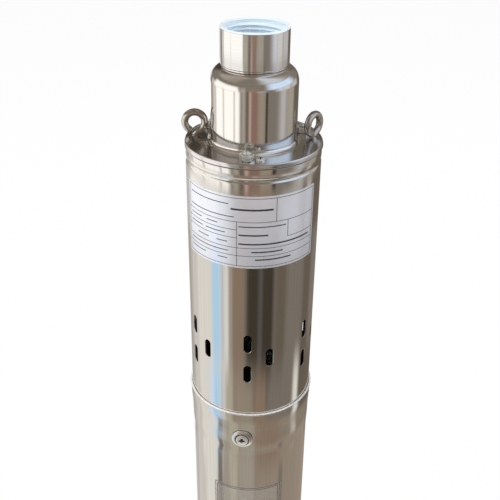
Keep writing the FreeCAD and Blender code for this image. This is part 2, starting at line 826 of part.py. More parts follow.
def make_stator():
    """The stator: its gasket, flanged sleeve, rubber lining and guide ring."""
    turned("stator_gasket", "rim_level", bored(
        "neck_radius - neck_wall", "boss_radius", "sleeve_top", "gasket_top"))
    inner = "sleeve_radius - sleeve_wall"
    turned("stator_sleeve", "rim_level", [
        (inner, "-rim_to_stator_end"),
        ("sleeve_radius", "-rim_to_stator_end"),
        ("sleeve_radius", "clamp_top"),
        ("boss_radius", "clamp_top"),
        ("boss_radius", "sleeve_top"),
        (inner, "sleeve_top"),
    ])
    low = "-rim_to_stator_end + guide_setback"
    body = turned("stator_guide_ring", "rim_level", bored(
        "sleeve_radius + fit_gap", "pump_inner - fit_gap", low, f"{low} + guide_thickness"))
    hole = drill(body, "guide_hole", "0", "(sleeve_radius + pump_inner) / 2", "guide_hole_radius")
    ring_of(body, [hole], "guide_hole_count")


def swept_screw(label, section, pitch, length, x):
    """A section carried up a helix from the rotor's foot, so that it turns as it rises."""
    helix = doc.addObject("Part::Helix", label + "_helix")
    bind(helix, "Radius", "eccentricity")
    bind(helix, "Pitch", pitch)
    bind(helix, "Height", length)
    place(helix, "rotor_start", x)
    sweep = doc.addObject("Part::Sweep", label + "_screw")
    sweep.Sections = [section]
    sweep.Spine = (helix, [])
    sweep.Solid = True
    sweep.Frenet = True
    return sweep


def cylinder(label, radius, height, level, x="0"):
    """An upright cylinder."""
    item = doc.addObject("Part::Cylinder", label)
    bind(item, "Radius", radius)
    bind(item, "Height", height)
    place(item, level, x)
    return item


def cross_cylinder(label, radius, length, level, x="0"):
    """A cylinder that lies along Y, centred on its place."""
    item = doc.addObject("Part::Cylinder", label)
    bind(item, "Radius", radius)
    bind(item, "Height", length)
    item.Placement = FreeCAD.Placement(
        FreeCAD.Vector(), FreeCAD.Rotation(FreeCAD.Vector(1, 0, 0), -90))
    place(item, level, x, f"-({length}) / 2")
    return item


def make_stator_rubber():
    """The rubber lining: a cylinder less a slot-shaped cavity that twists about the axis."""
    section = doc.addObject("Sketcher::SketchObject", "cavity_section")
    draw_slot(section, "2 * (rotor_section_radius + screw_clearance)",
              "2 * (rotor_section_radius + screw_clearance) + 4 * eccentricity")
    section.Placement = FreeCAD.Placement(
        FreeCAD.Vector(), FreeCAD.Rotation(FreeCAD.Vector(0, 0, 1), 90))
    place(section, "rotor_start")
    cavity = swept_screw("cavity", section, "2 * rotor_pitch", "rotor_length + cut_margin", "0")
    blank = cylinder("rubber_blank", "sleeve_radius - sleeve_wall", "rubber_length",
                     "rim_level - rim_to_stator_end")
    lining = doc.addObject("Part::Cut", "stator_rubber")
    lining.Base = blank
    lining.Tool = cavity
    lining.Label = "stator_rubber"


def make_helical_rotor():
    """The single-start screw rotor with its hollow shank and pin hole."""
    section = doc.addObject("Part::Circle", "rotor_section")
    bind(section, "Radius", "rotor_section_radius")
    place(section, "rotor_start", "2 * eccentricity")
    screw = swept_screw("rotor", section, "rotor_pitch", "rotor_length", "eccentricity")
    shank = cylinder("shank_blank", "shank_radius", "shank_length",
                     "rotor_start - shank_length", "eccentricity")
    whole = doc.addObject("Part::Fuse", "rotor_whole")
    whole.Base = screw
    whole.Tool = shank
    bore_depth = "shank_length - shank_to_pivot + rod_head_half + joint_end_gap"
    bore = cylinder("shank_bore", "joint_bore", f"{bore_depth} + cut_margin",
                    "rotor_start - shank_length - cut_margin", "eccentricity")
    hollow = doc.addObject("Part::Cut", "rotor_hollow")
    hollow.Base = whole
    hollow.Tool = bore
    pin_hole = cross_cylinder("shank_pin_hole", "pin_radius + casing_fit",
                              "2 * (shank_radius + cut_margin)", "upper_pivot", "eccentricity")
    rotor = doc.addObject("Part::Cut", "helical_rotor")
    rotor.Base = hollow
    rotor.Tool = pin_hole
    rotor.Label = "helical_rotor"


def make_pins():
    """The cross pins of the rotor's shank and of the shaft coupling."""
    rotor_pin = cross_cylinder("rotor_pin", "pin_radius", "2 * (shank_radius - pin_inset)",
                               "upper_pivot", "eccentricity")
    rotor_pin.Label = "rotor_pin"
    coupling_pin = cross_cylinder("coupling_pin", "pin_radius", "2 * (coupling_radius - pin_inset)",
                                  "lower_pivot")
    coupling_pin.Label = "coupling_pin"


def make_joint_boot():
    """The round boot that keeps the rotor's pin in and sand out of the joint."""
    inner = "shank_radius + boot_gap"
    outer = f"({inner} + boot_wall)"
    turned("joint_boot", "upper_pivot", [
        ("boot_lip_radius", "-boot_below_pivot"),
        (outer, "-boot_below_pivot"),
        (outer, "boot_above_pivot"),
        (inner, "boot_above_pivot"),
        (inner, "-boot_below_pivot + boot_wall"),
        ("boot_lip_radius", "-boot_below_pivot + boot_wall"),
    ], "eccentricity")


def make_coupling_rod():
    """The rod between the two pin joints, which leans by the rotor's eccentricity."""
    body = turned("coupling_rod", "lower_pivot", [
        ("0", "-rod_head_half"),
        ("rod_head_radius", "-rod_head_half"),
        ("rod_head_radius", "rod_head_half"),
        ("rod_radius", "rod_head_half + edge_break"),
        ("rod_radius", "rod_span - rod_head_half - edge_break"),
        ("rod_head_radius", "rod_span - rod_head_half"),
        ("rod_head_radius", "rod_span + rod_head_half"),
        ("0", "rod_span + rod_head_half"),
    ])
    sketch = new_sketch(body, "rod_eyes")
    draw_circle(sketch, "0", "0", "rod_eye_radius")
    draw_circle(sketch, "0", "rod_span", "rod_eye_radius")
    cut(body, sketch)
    turn_about(body, FreeCAD.Vector(0, 1, 0), "atan(eccentricity / pivot_rise)")


def make_shaft_coupling():
    """The sleeve on the motor shaft that takes the rod's lower end."""
    body = turned("shaft_coupling", "bell_top", [
        ("seal_shaft_radius + casing_fit", "coupling_foot"),
        ("coupling_radius", "coupling_foot"),
        ("coupling_radius", "pivot_above_bell + coupling_above_pivot"),
        ("joint_bore", "pivot_above_bell + coupling_above_pivot"),
        ("joint_bore", "coupling_bore_floor"),
        ("0", "coupling_bore_floor"),
        ("0", "coupling_bore_floor - coupling_web"),
        ("seal_shaft_radius + casing_fit", "coupling_bore_floor - coupling_web"),
    ])
    sketch = new_sketch(body, "coupling_pin_hole")
    draw_circle(sketch, "0", "pivot_above_bell", "pin_radius + casing_fit")
    cut(body, sketch)


# Motor casing and its fasteners


def make_motor_casing():
    """The motor's tube: rolled in under the cap, flared and beaded round the pump casing's foot."""
    knee = "motor_length - flare_land - flare_taper"
    middle = "motor_length - flare_land - flare_taper / 2"
    land = "motor_length - flare_land"
    outer_middle = "(motor_radius + flare_radius) / 2"
    inner_middle = f"({outer_middle} - motor_wall)"
    body = turned("motor_casing", "0", [
        ("motor_radius - base_lip", "0"),
        ("motor_radius - base_roll", "0", "base_roll", "left"),
        ("motor_radius", "base_roll"),
        ("motor_radius", knee, "flare_bend", "right"),
        (outer_middle, middle, "flare_bend", "left"),
        ("flare_radius", land),
        ("flare_radius", "motor_length - lip_height", "lip_arc", "left"),
        ("flare_radius", "motor_length"),
        ("flare_radius - motor_wall", "motor_length"),
        ("flare_radius - motor_wall", land, "flare_bend", "right"),
        (inner_middle, middle, "flare_bend", "left"),
        ("motor_inner", knee),
        ("motor_inner", "base_roll", "base_roll - motor_wall", "right"),
        ("motor_radius - base_roll", "motor_wall"),
        ("motor_radius - base_lip", "motor_wall"),
    ])
    holes = []
    for row in ("upper", "lower"):
        sketch = facing_sketch(body, f"{row}_screw_hole", "screw_azimuth",
                               "motor_radius + cut_margin", f"{row}_screw_level")
        draw_circle(sketch, "0", "0", "screw_hole")
        holes.append(cut(body, sketch, "motor_wall + 2 * cut_margin"))
    ring_of(body, holes, "screw_count")


def make_casing_fasteners():
    """The radial screws that hold the end bells, and their cup washers."""
    seat = "motor_radius"
    crown = "(motor_radius + cup_height)"
    screw_outline = [
        (f"{seat} - screw_reach", "0"),
        (f"{crown} + screw_dome", "0"),
        (f"{crown} + screw_dome_edge", "screw_head_radius / 2"),
        (crown, "screw_head_radius"),
        (f"{crown} - screw_flank_drop", "screw_radius"),
        (f"{seat} - screw_reach", "screw_radius"),
    ]
    washer_outline = [
        (seat, "screw_hole"),
        (seat, "cup_radius"),
        (f"{seat} + cup_edge", "cup_radius"),
        (crown, "cup_crown_radius"),
        (crown, "screw_head_radius + cup_play"),
        (f"{crown} - screw_flank_drop", "screw_radius + fit_gap"),
    ]
    for label, outline in (("casing_screws", screw_outline), ("cup_washers", washer_outline)):
        body = new_body(label)
        turns = []
        for row in ("upper", "lower"):
            sketch = radial_sketch(body, f"{row}_{label}_outline", "screw_azimuth", f"{row}_screw_level")
            draw_outline(sketch, outline)
            turns.append(spin(body, sketch, "H_Axis"))
        ring_of(body, turns, "screw_count")


# End bells


def ring_groove(middle):
    """The outline points of an O-ring groove in an outer wall, from low to high."""
    low = f"({middle}) - ring_groove_width / 2"
    high = f"({middle}) + ring_groove_width / 2"
    floor = "bell_fit_radius - ring_groove_depth"
    return [("bell_fit_radius", low), (floor, low), (floor, high), ("bell_fit_radius", high)]


def tap_screw_holes(body, name, level):
    """Blind holes for the radial casing screws."""
    sketch = facing_sketch(body, name, "screw_azimuth", "motor_radius", level)
    draw_circle(sketch, "0", "0", "screw_radius + thread_gap")
    hole = cut(body, sketch, "screw_reach + edge_break")
    ring_of(body, [hole], "screw_count")


def make_upper_end_bell():
    """The bell that closes the motor's top and holds bearing and shaft seal."""
    hub = "(bearing_radius + hub_wall)"
    low = "-bell_height"
    web_bottom = "-bell_height + bearing_width"
    skirt = "(bell_fit_radius - bell_skirt_width)"
    lower_ring = "-upper_ring_drop - ring_spacing"
    body = turned("upper_end_bell", "bell_top", [
        ("web_bore", web_bottom),
        ("bearing_radius + casing_fit", web_bottom),
        ("bearing_radius + casing_fit", low),
        (hub, low),
        (hub, f"{low} + bell_bottom_recess"),
        (skirt, f"{low} + bell_bottom_recess"),
        (skirt, low),
        ("bell_fit_radius", low),
        *ring_groove(lower_ring),
        *ring_groove("-upper_ring_drop"),
        ("bell_fit_radius", "0"),
        ("bell_rim_radius", "0"),
        ("bell_rim_radius", "-bell_top_recess"),
        ("seal_hub_radius", "-bell_top_recess"),
        ("seal_hub_radius", "0"),
        ("seal_chamber_radius", "0"),
        ("seal_chamber_radius", "seat_floor"),
        ("web_bore", "seat_floor"),
    ])
    tap_screw_holes(body, "upper_screw_seat", "upper_screw_level - bell_top")
    for name, azimuth, radius in (("lead_seat", "lead_azimuth", "lead_hole"),
                                  ("plug_seat", "plug_azimuth", "plug_radius")):
        x = across("port_circle", azimuth)
        y = along("port_circle", azimuth)
        drill(body, name, x, y, f"{radius} + thread_gap")
    turned_rings("bell_o_rings", "bell_top", [
        ("motor_inner - ring_wire", "-upper_ring_drop", "ring_wire"),
        ("motor_inner - ring_wire", lower_ring, "ring_wire"),
    ])


def make_lead_bush():
    """The rubber bush that seals the winding leads through the upper bell."""
    top = "-bell_top_recess"
    bottom = "-bell_height + bell_bottom_recess"
    turned("lead_bush", "bell_top", [
        ("lead_bore", bottom),
        ("lead_hole", bottom),
        ("lead_hole", top),
        ("lead_flange", top),
        ("lead_flange", f"{top} + lead_flange_height"),
        ("lead_bore", f"{top} + lead_flange_height"),
    ], across("port_circle", "lead_azimuth"), along("port_circle", "lead_azimuth"))


def make_oil_plug():
    """The socket-headed plug of the oil filling hole."""
    body = turned("oil_plug", "bell_top - bell_top_recess", [
        ("0", "-plug_length"),
        ("plug_radius", "-plug_length"),
        ("plug_radius", "0"),
        ("plug_head_radius", "0"),
        ("plug_head_radius", "plug_head_height"),
        ("0", "plug_head_height"),
    ], across("port_circle", "plug_azimuth"), along("port_circle", "plug_azimuth"))
    sketch = new_sketch(body, "plug_socket", "XY_Plane", "plug_head_height")
    draw_hexagon(sketch, "0", "0", "plug_socket_flats")
    cut(body, sketch, "plug_socket_depth")


def make_lower_end_bell():
    """The bell that carries the lower bearing above the diaphragm."""
    hub = "(bearing_radius + hub_wall)"
    wall = "(bell_fit_radius - lower_wall_width)"
    seat = "bearing_floor - washer_thickness"
    body = turned("lower_end_bell", "lower_bell_level", [
        ("0", "0"),
        ("bell_fit_radius", "0"),
        *ring_groove("lower_ring_rise"),
        ("bell_fit_radius", "lower_bell_height"),
        (wall, "lower_bell_height"),
        (wall, "lower_bell_floor"),
        (hub, "lower_bell_floor"),
        (hub, "lower_bell_height"),
        ("bearing_radius + casing_fit", "lower_bell_height"),
        ("bearing_radius + casing_fit", seat),
        ("shaft_pocket_radius", seat),
        ("shaft_pocket_radius", f"{seat} - shaft_pocket_depth"),
        ("0", f"{seat} - shaft_pocket_depth"),
    ])
    tap_screw_holes(body, "lower_screw_seat", "lower_screw_rise")
    hole = drill(body, "oil_hole", "oil_hole_circle", "0", "oil_hole_radius")
    ring_of(body, [hole], "oil_hole_count")
    turned_rings("lower_o_ring", "lower_bell_level", [
        ("motor_inner - ring_wire", "lower_ring_rise", "ring_wire"),
    ])
    turned("preload_washer", "lower_bell_level", bored(
        "bearing_radius - washer_width", "bearing_radius", seat, "bearing_floor"))


def make_seal():
    """The shaft seal: fixed seat, running face, spring and collar, with the slinger above."""
    turned("seal_seat", "bell_top", bored(
        "seat_bore", "seal_chamber_radius", "seat_floor", "seat_floor + seat_height"))
    turned("seal_face", "bell_top", bored(
        "seal_shaft_radius + casing_fit", "face_radius", "face_floor", "face_floor + face_height"))
    turned("seal_collar", "bell_top", bored(
        "seal_shaft_radius + casing_fit", "collar_radius", "-collar_drop - collar_height", "-collar_drop"))
    body = new_body("seal_spring", "bell_top + spring_floor")
    sketch = new_sketch(body, "spring_section")
    draw_circle(sketch, "spring_radius", "0", "spring_wire")
    coil = body.newObject("PartDesign::AdditiveHelix", "spring_coil")
    coil.Profile = sketch
    coil.ReferenceAxis = (sketch, ["V_Axis"])
    coil.Mode = "pitch-height-angle"
    coil.Pitch = value_of("spring_pitch")
    coil.Height = value_of("spring_room")
    bind(coil, "Pitch", "spring_pitch")
    bind(coil, "Height", "spring_room")
    turned("sand_slinger", "bell_top + slinger_lift", [
        ("seal_shaft_radius + casing_fit", "0"),
        ("slinger_radius - slinger_height", "0"),
        ("slinger_radius", "-slinger_dish / 2"),
        ("slinger_radius", "slinger_dish"),
        ("slinger_radius - slinger_height", "slinger_height - slinger_dish / 2"),
        ("coupling_radius", "slinger_height"),
        ("seal_shaft_radius + casing_fit", "slinger_height"),
    ])


# Shaft, bearings and active parts


def make_motor_shaft():
    """The motor's shaft, stepped for its bearings and the seal."""
    foot = "lower_bell_level + bearing_floor - washer_thickness - shaft_pocket_depth + shaft_end_gap"
    shoulder = "bell_top - bell_height"
    turned("motor_shaft", "0", [
        ("0", foot),
        ("journal_radius", foot),
        ("journal_radius", "lower_bell_top"),
        ("core_shaft_radius", "lower_bell_top"),
        ("core_shaft_radius", shoulder),
        ("journal_radius", shoulder),
        ("journal_radius", f"{shoulder} + bearing_width + bell_web"),
        ("seal_shaft_radius", f"{shoulder} + bearing_width + bell_web"),
        ("seal_shaft_radius", "bell_top + coupling_bore_floor - coupling_web"),
        ("0", "bell_top + coupling_bore_floor - coupling_web"),
    ])


def make_bearing(side):
    """A deep-groove ball bearing: two rings, the balls and their cage."""
    level = f"{side}_bearing_middle"
    half = "bearing_width / 2"
    turned(f"{side}_bearing_outer_ring", level, [
        ("ball_circle + race_land", f"-{half}"),
        ("bearing_radius", f"-{half}"),
        ("bearing_radius", half),
        ("ball_circle + race_land", half),
        ("ball_circle + race_land", "race_half", "race_radius", "right"),
        ("ball_circle + race_land", "-race_half"),
    ])
    turned(f"{side}_bearing_inner_ring", level, [
        ("journal_radius + casing_fit / 2", f"-{half}"),
        ("ball_circle - race_land", f"-{half}"),
        ("ball_circle - race_land", "-race_half", "race_radius", "right"),
        ("ball_circle - race_land", "race_half"),
        ("ball_circle - race_land", half),
        ("journal_radius + casing_fit / 2", half),
    ])
    balls = new_body(f"{side}_bearing_balls", level)
    ball = balls.newObject("PartDesign::AdditiveSphere", f"{side}_ball")
    ball.AttachmentSupport = [(datum(balls, "XY_Plane"), "")]
    ball.MapMode = "FlatFace"
    bind(ball, "Radius", "ball_radius")
    bind(ball, "AttachmentOffset.Base.x", "ball_circle")
    ring_of(balls, [ball], "ball_count")
    cage = turned(f"{side}_bearing_cage", level, bored(
        "ball_circle - cage_thickness / 2", "ball_circle + cage_thickness / 2",
        "-cage_width / 2", "cage_width / 2"))
    sketch = facing_sketch(cage, f"{side}_cage_pocket", "90", "ball_circle + cut_margin")
    draw_circle(sketch, "0", "0", "ball_radius + cage_pocket_gap")
    pocket = cut(cage, sketch, "2 * cut_margin")
    ring_of(cage, [pocket], "ball_count")


def make_rotor_core():
    """The motor rotor's lamination stack and the cast rings at its ends."""
    turned("rotor_core", "stack_bottom", bored(
        "core_shaft_radius", "core_radius", "0", "stack_length"))
    body = new_body("rotor_end_rings", "stack_bottom")
    sketch = new_sketch(body, "end_ring_outlines")
    outer = "core_radius - cage_ring_step"
    draw_outline(sketch, bored("cage_ring_inner", outer, "-cage_ring_height", "0"))
    draw_outline(sketch, bored(
        "cage_ring_inner", outer, "stack_length", "stack_length + cage_ring_height"))
    spin(body, sketch)


def slot_points(liner):
    """The outline of one winding slot, drawn in by the liner's thickness."""
    start = f"tooth_slot_start + {liner}"
    end = f"tooth_slot_end - {liner}"
    inner = f"(tooth_inner_half - {liner})"
    outer = f"(tooth_outer_half - {liner})"
    return [(start, f"-{inner}"), (end, f"-{outer}"), (end, outer), (start, inner)]


def make_stator_core():
    """The motor stator's lamination stack, with its winding slots."""
    body = turned("motor_stator_core", "stack_bottom", bored(
        "stator_bore", "bell_fit_radius", "0", "stack_length"))
    sketch = new_sketch(body, "winding_slot", "XY_Plane")
    low_inner, low_outer, high_outer, high_inner = slot_points("0")
    draw_outline(sketch, [
        ("stator_bore - edge_break", "-tooth_mouth"),
        ("tooth_neck", "-tooth_mouth"),
        low_inner,
        low_outer,
        high_outer,
        high_inner,
        ("tooth_neck", "tooth_mouth"),
        ("stator_bore - edge_break", "tooth_mouth"),
    ])
    slot = cut(body, sketch)
    ring_of(body, [slot], "tooth_count")


def make_windings():
    """The windings: a bar in every slot and a ring of end turns above and below."""
    body = new_body("motor_windings", "stack_bottom")
    sketch = new_sketch(body, "end_turn_outlines")
    inner = "end_turn_inner"
    outer = "end_turn_outer"
    bend = "end_turn_round"
    low = "-end_turn_height"
    high = "stack_length + end_turn_height"
    draw_outline(sketch, [
        (inner, f"{low} + {bend}", bend, "left"),
        (f"{inner} + {bend}", low),
        (f"{outer} - {bend}", low, bend, "left"),
        (outer, f"{low} + {bend}"),
        (outer, "0"),
        (inner, "0"),
    ])
    draw_outline(sketch, [
        (inner, "stack_length"),
        (outer, "stack_length"),
        (outer, f"{high} - {bend}", bend, "left"),
        (f"{outer} - {bend}", high),
        (f"{inner} + {bend}", high, bend, "left"),
        (inner, f"{high} - {bend}"),
    ])
    spin(body, sketch)
    bar_sketch = new_sketch(body, "slot_bar", "XY_Plane")
    draw_outline(bar_sketch, slot_points("slot_liner"))
    bar = pad(body, bar_sketch, "stack_length")
    ring_of(body, [bar], "tooth_count")


# Base


def make_bottom_cap():
    """The cap inside the rolled edge, flush with it, with vents to the diaphragm's water side."""
    wall = "bell_fit_radius - cap_wall"
    floor = "motor_wall + cap_floor"
    pad_radius = "motor_radius - base_lip - cap_pad_gap"
    top = "lower_bell_level - diaphragm_wall"
    body = turned("bottom_cap", "0", [
        ("0", "0"),
        (pad_radius, "0"),
        (pad_radius, "motor_wall"),
        ("bell_fit_radius - cap_chamfer", "motor_wall"),
        ("bell_fit_radius", "motor_wall + cap_chamfer"),
        ("bell_fit_radius", top),
        (wall, top),
        (wall, floor),
        ("0", floor),
    ])
    hole = drill(body, "vent_hole", "vent_circle", "0", "vent_radius")
    ring_of(body, [hole], "vent_count")


def make_diaphragm():
    """The rubber diaphragm that lets the oil expand against the well water."""
    wall = "diaphragm_wall"
    turned("diaphragm", "lower_bell_level", [
        ("0", "-diaphragm_depth"),
        ("diaphragm_floor_radius", "-diaphragm_depth"),
        ("diaphragm_mouth_radius", f"-{wall}"),
        ("bell_fit_radius", f"-{wall}"),
        ("bell_fit_radius", "0"),
        ("diaphragm_mouth_radius", "0"),
        ("diaphragm_floor_radius - edge_break", f"-diaphragm_depth + {wall}"),
        ("0", f"-diaphragm_depth + {wall}"),
    ])


def build():
    """Make every piece, from the outlet down to the base."""
    fill_sheet()
    make_outlet_socket()
    make_discharge_neck()
    make_head_plate()
    make_rim_seal()
    make_head_studs()
    make_head_nuts()
    make_plate_screw()
    make_cable_grommet()
    for side in ("left", "right"):
        make_eye_bolt(side)
    make_eye_bolt_nuts()
    make_pump_casing()
    make_clamp_ring()
    make_stator()
    make_stator_rubber()
    make_helical_rotor()
    make_pins()
    make_joint_boot()
    make_coupling_rod()
    make_shaft_coupling()
    make_motor_casing()
    make_casing_fasteners()
    make_upper_end_bell()
    make_lead_bush()
    make_oil_plug()
    make_seal()
    make_motor_shaft()
    for side in ("upper", "lower"):
        make_bearing(side)
    make_rotor_core()
    make_stator_core()
    make_windings()
    make_lower_end_bell()
    make_diaphragm()
    make_bottom_cap()
    doc.recompute()


def pieces():
    """The finished pieces: every body, and the solids that no other object uses."""
    found = []
    for item in doc.Objects:
        if item.TypeId == "PartDesign::Body":
            found.append(item)
        elif item.TypeId in ("Part::Cut", "Part::Cylinder") and not item.InList:
            found.append(item)
    return found


def check_states():
    """Stop if any object of the document failed to recompute."""
    for item in doc.Objects:
        troubles = {"Invalid", "Error"} & set(item.State)
        if troubles:
            raise RuntimeError(f"{item.Label}: {', '.join(sorted(troubles))}")


def write_parts():
    """Check each piece's shape and write it to its own STEP file."""
    os.makedirs("parts", exist_ok=True)
    finished = pieces()
    for item in finished:
        shape = item.Shape
        if shape.isNull() or not shape.isValid() or not shape.Solids:
            raise RuntimeError(f"{item.Label} has no valid solid")
    for item in finished:
        item.Shape.exportStep(f"parts/{item.Label}.step")
        box = item.Shape.BoundBox
        print(f"{item.Label:28s} solids {len(item.Shape.Solids):2d} volume {item.Shape.Volume:10.1f}"
              f" z {box.ZMin:7.2f} to {box.ZMax:7.2f} reach {box.XMax:6.2f} {box.YMax:6.2f}")
    print(len(finished), "pieces")


build()
check_states()
write_parts()
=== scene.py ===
"""The looks of a borehole submersible pump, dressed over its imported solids."""

import json
import logging
import math
from collections.abc import Callable, Iterable, Sequence
from dataclasses import dataclass, field
from enum import Enum

import bmesh
import bpy
from bmesh.types import BMEdge, BMesh, BMFace, BMVert
from bpy.types import NodeSocket
from mathutils import Matrix, Vector


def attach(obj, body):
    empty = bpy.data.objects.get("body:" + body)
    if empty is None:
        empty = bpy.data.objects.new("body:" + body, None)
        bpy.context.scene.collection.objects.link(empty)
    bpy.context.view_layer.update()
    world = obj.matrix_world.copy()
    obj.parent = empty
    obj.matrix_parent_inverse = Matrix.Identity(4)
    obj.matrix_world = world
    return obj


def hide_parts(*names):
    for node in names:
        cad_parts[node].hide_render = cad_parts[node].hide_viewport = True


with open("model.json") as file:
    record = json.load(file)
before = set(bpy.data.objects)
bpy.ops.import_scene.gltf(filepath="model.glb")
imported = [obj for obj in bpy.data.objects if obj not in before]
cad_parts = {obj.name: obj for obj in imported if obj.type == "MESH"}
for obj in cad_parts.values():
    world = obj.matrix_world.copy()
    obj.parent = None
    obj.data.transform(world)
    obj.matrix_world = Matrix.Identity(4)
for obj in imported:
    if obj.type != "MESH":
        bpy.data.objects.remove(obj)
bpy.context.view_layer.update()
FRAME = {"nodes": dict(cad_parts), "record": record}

log = logging.getLogger("pump")

MM = 0.001
TURN = 2 * math.pi
UP = (0.0, 0.0, 1.0)
CENTRE = (0.0, 0.0, 0.0)
HOUSING = "housing"
RIM_LEVEL = 495.6
PLATE_TOP = 495.0
NECK_TOP = 536.7

Point = tuple[float, float]
Place = tuple[float, float, float]
Patch = tuple[float, float, float, float]
Colour = tuple[float, float, float]
Value = NodeSocket | float | Sequence[float]


# Finishes


class Nodes:
    """A node tree while it is being put together."""

    def __init__(self, holder: bpy.types.Material | bpy.types.World) -> None:
        """Start with an empty tree.

        Args:
            holder: The material or world that the tree belongs to.
        """
        holder.use_nodes = True
        self.tree = holder.node_tree
        self.tree.nodes.clear()

    def add(self, kind: str, inputs: dict[str | int, Value] | None = None,
            **settings: str) -> bpy.types.Node:
        """Add a node.

        Args:
            kind: The node's type, without its common prefix.
            inputs: What feeds each input, or its own value.
            settings: The node's other settings.

        Returns:
            The node.
        """
        node = self.tree.nodes.new(f"ShaderNode{kind}")
        for name, setting in settings.items():
            setattr(node, name, setting)
        for key, value in (inputs or {}).items():
            self.feed(node.inputs[key], value)
        return node

    def feed(self, target: NodeSocket, value: Value) -> None:
        """Link an input to a socket, or give it a value of its own.

        Args:
            target: The input.
            value: The socket or the value.
        """
        if isinstance(value, NodeSocket):
            self.tree.links.new(value, target)
        else:
            target.default_value = value

    def maths(self, operation: str, one: Value, other: Value) -> NodeSocket:
        """Add a sum of two values.

        Args:
            operation: The sum to work out.
            one: The first value.
            other: The second value.

        Returns:
            The result.
        """
        return self.add("Math", {0: one, 1: other}, operation=operation).outputs[0]

    def blend(self, share: Value, one: Value, other: Value) -> NodeSocket:
        """Mix two colours.

        Args:
            share: The share of the second colour.
            one: The first colour.
            other: The second colour.

        Returns:
            The mixed colour.
        """
        mix = self.add("Mix", {"Factor": share, "A": one, "B": other}, data_type="RGBA")
        return mix.outputs["Result"]

    def spread(self, value: Value, low: float, high: float, start: float = 0.3, end: float = 0.7,
               **settings: str) -> NodeSocket:
        """Map a value onto a range.

        Args:
            value: The value, such as a noise.
            low: The result at the start of the value's span.
            high: The result at its end.
            start: Where the value's span starts.
            end: Where it ends.
            settings: The node's other settings.

        Returns:
            The mapped value.
        """
        return self.add("MapRange", {"Value": value, "From Min": start, "From Max": end,
                                     "To Min": low, "To Max": high}, **settings).outputs["Result"]


class Tree(Nodes):
    """The nodes of one material, with a plain shader joined to the output."""

    def __init__(self, name: str) -> None:
        """Start the material.

        Args:
            name: The material's name.
        """
        self.material = bpy.data.materials.new(name)
        super().__init__(self.material)
        self.shader = self.add("BsdfPrincipled")
        self.add("OutputMaterial", {"Surface": self.shader.outputs[0]})
        self.place = self.add("TexCoord").outputs["Object"]

    def grain(self, per_metre: Place, detail: float = 3.0, offset: float = 0.0) -> NodeSocket:
        """Add noise that is stretched along the axes.

        Args:
            per_metre: How many grains there are to a metre along X, Y and Z.
            detail: The noise's number of finer layers.
            offset: A shift that sets one grain apart from another.

        Returns:
            The noise's value, from 0 to 1.
        """
        mapping = self.add("Mapping", {"Vector": self.place, "Scale": per_metre,
                                       "Location": (offset,) * 3})
        noise = self.add("TexNoise", {"Vector": mapping.outputs["Vector"], "Scale": 1.0,
                                      "Detail": detail})
        return noise.outputs["Fac"]

    def tint(self, value: NodeSocket, one: Colour, other: Colour) -> None:
        """Let the base colour wander between two colours.

        Args:
            value: The noise value that chooses between them.
            one: The colour at its low end.
            other: The colour at its high end.
        """
        mixed = self.blend(self.spread(value, 0.0, 1.0), (*one, 1.0), (*other, 1.0))
        self.feed(self.shader.inputs["Base Color"], mixed)

    def relief(self, value: NodeSocket, height: float, strength: float = 1.0) -> None:
        """Raise and sink the surface.

        Args:
            value: The noise value.
            height: The height of the relief in millimetres.
            strength: How strongly it shades.
        """
        inputs = {"Height": value, "Distance": height * MM, "Strength": strength}
        before = self.shader.inputs["Normal"].links
        if before:
            inputs["Normal"] = before[0].from_socket
        self.feed(self.shader.inputs["Normal"], self.add("Bump", inputs).outputs["Normal"])


def shaded(colour: Colour, factor: float) -> Colour:
    """A colour made darker or lighter by a factor."""
    return tuple(min(1.0, part * factor) for part in colour)


@dataclass(frozen=True)
class Finish:
    """A surface finish: an even colour with a fine speckle."""

    name: str
    slot: str
    colour: Colour
    roughness: float = 0.5
    metallic: float = 0.0
    variation: float = 0.12
    grain: float = 900.0
    relief: float = 0.01

    def material(self) -> bpy.types.Material:
        """The finish's material, made the first time it is asked for.

        Returns:
            The material.
        """
        label = f"{self.name}_finish"
        found = bpy.data.materials.get(label)
        if found:
            return found
        tree = Tree(label)
        tree.feed(tree.shader.inputs["Metallic"], self.metallic)
        self.dress(tree)
        return tree.material

    def dress(self, tree: Tree) -> None:
        """Give the tree its colour, roughness and relief.

        Args:
            tree: The material's tree.
        """
        speckle = tree.grain((self.grain,) * 3)
        self.tone(tree, speckle)
        tree.relief(speckle, self.relief)

    def tone(self, tree: Tree, value: NodeSocket) -> None:
        """Let colour and roughness follow a value.

        Args:
            tree: The material's tree.
            value: The noise value that they follow.
        """
        dark = shaded(self.colour, 1.0 - self.variation)
        tree.tint(value, dark, shaded(self.colour, 1.0 + self.variation))
        spread = self.roughness * self.variation * 1.5
        rough = tree.spread(value, self.roughness - spread, self.roughness + spread)
        tree.feed(tree.shader.inputs["Roughness"], rough)


@dataclass(frozen=True)
class DrawnSteel(Finish):
    """Polished tube, with fine lines and slow waves along its length."""

    lines: Place = (1400.0, 1400.0, 9.0)
    wave: float = 0.05
    waves: float = 60.0
    wave_rise: float = 2.5

    def dress(self, tree: Tree) -> None:
        """Give the tube its fine lines and its waves.

        Args:
            tree: The material's tree.
        """
        lines = tree.grain(self.lines, 4.0)
        self.tone(tree, lines)
        tree.relief(tree.grain((self.waves, self.waves, self.wave_rise), 1.0, 3.7), self.wave)
        tree.relief(lines, self.relief, 0.35)


@dataclass(frozen=True)
class TurnedSteel(Finish):
    """Lathe-turned metal, with fine rings round the axis."""

    rings: Place = (8.0, 8.0, 3500.0)

    def dress(self, tree: Tree) -> None:
        """Give the metal its turning rings.

        Args:
            tree: The material's tree.
        """
        marks = tree.grain(self.rings)
        self.tone(tree, marks)
        tree.relief(marks, self.relief, 0.4)


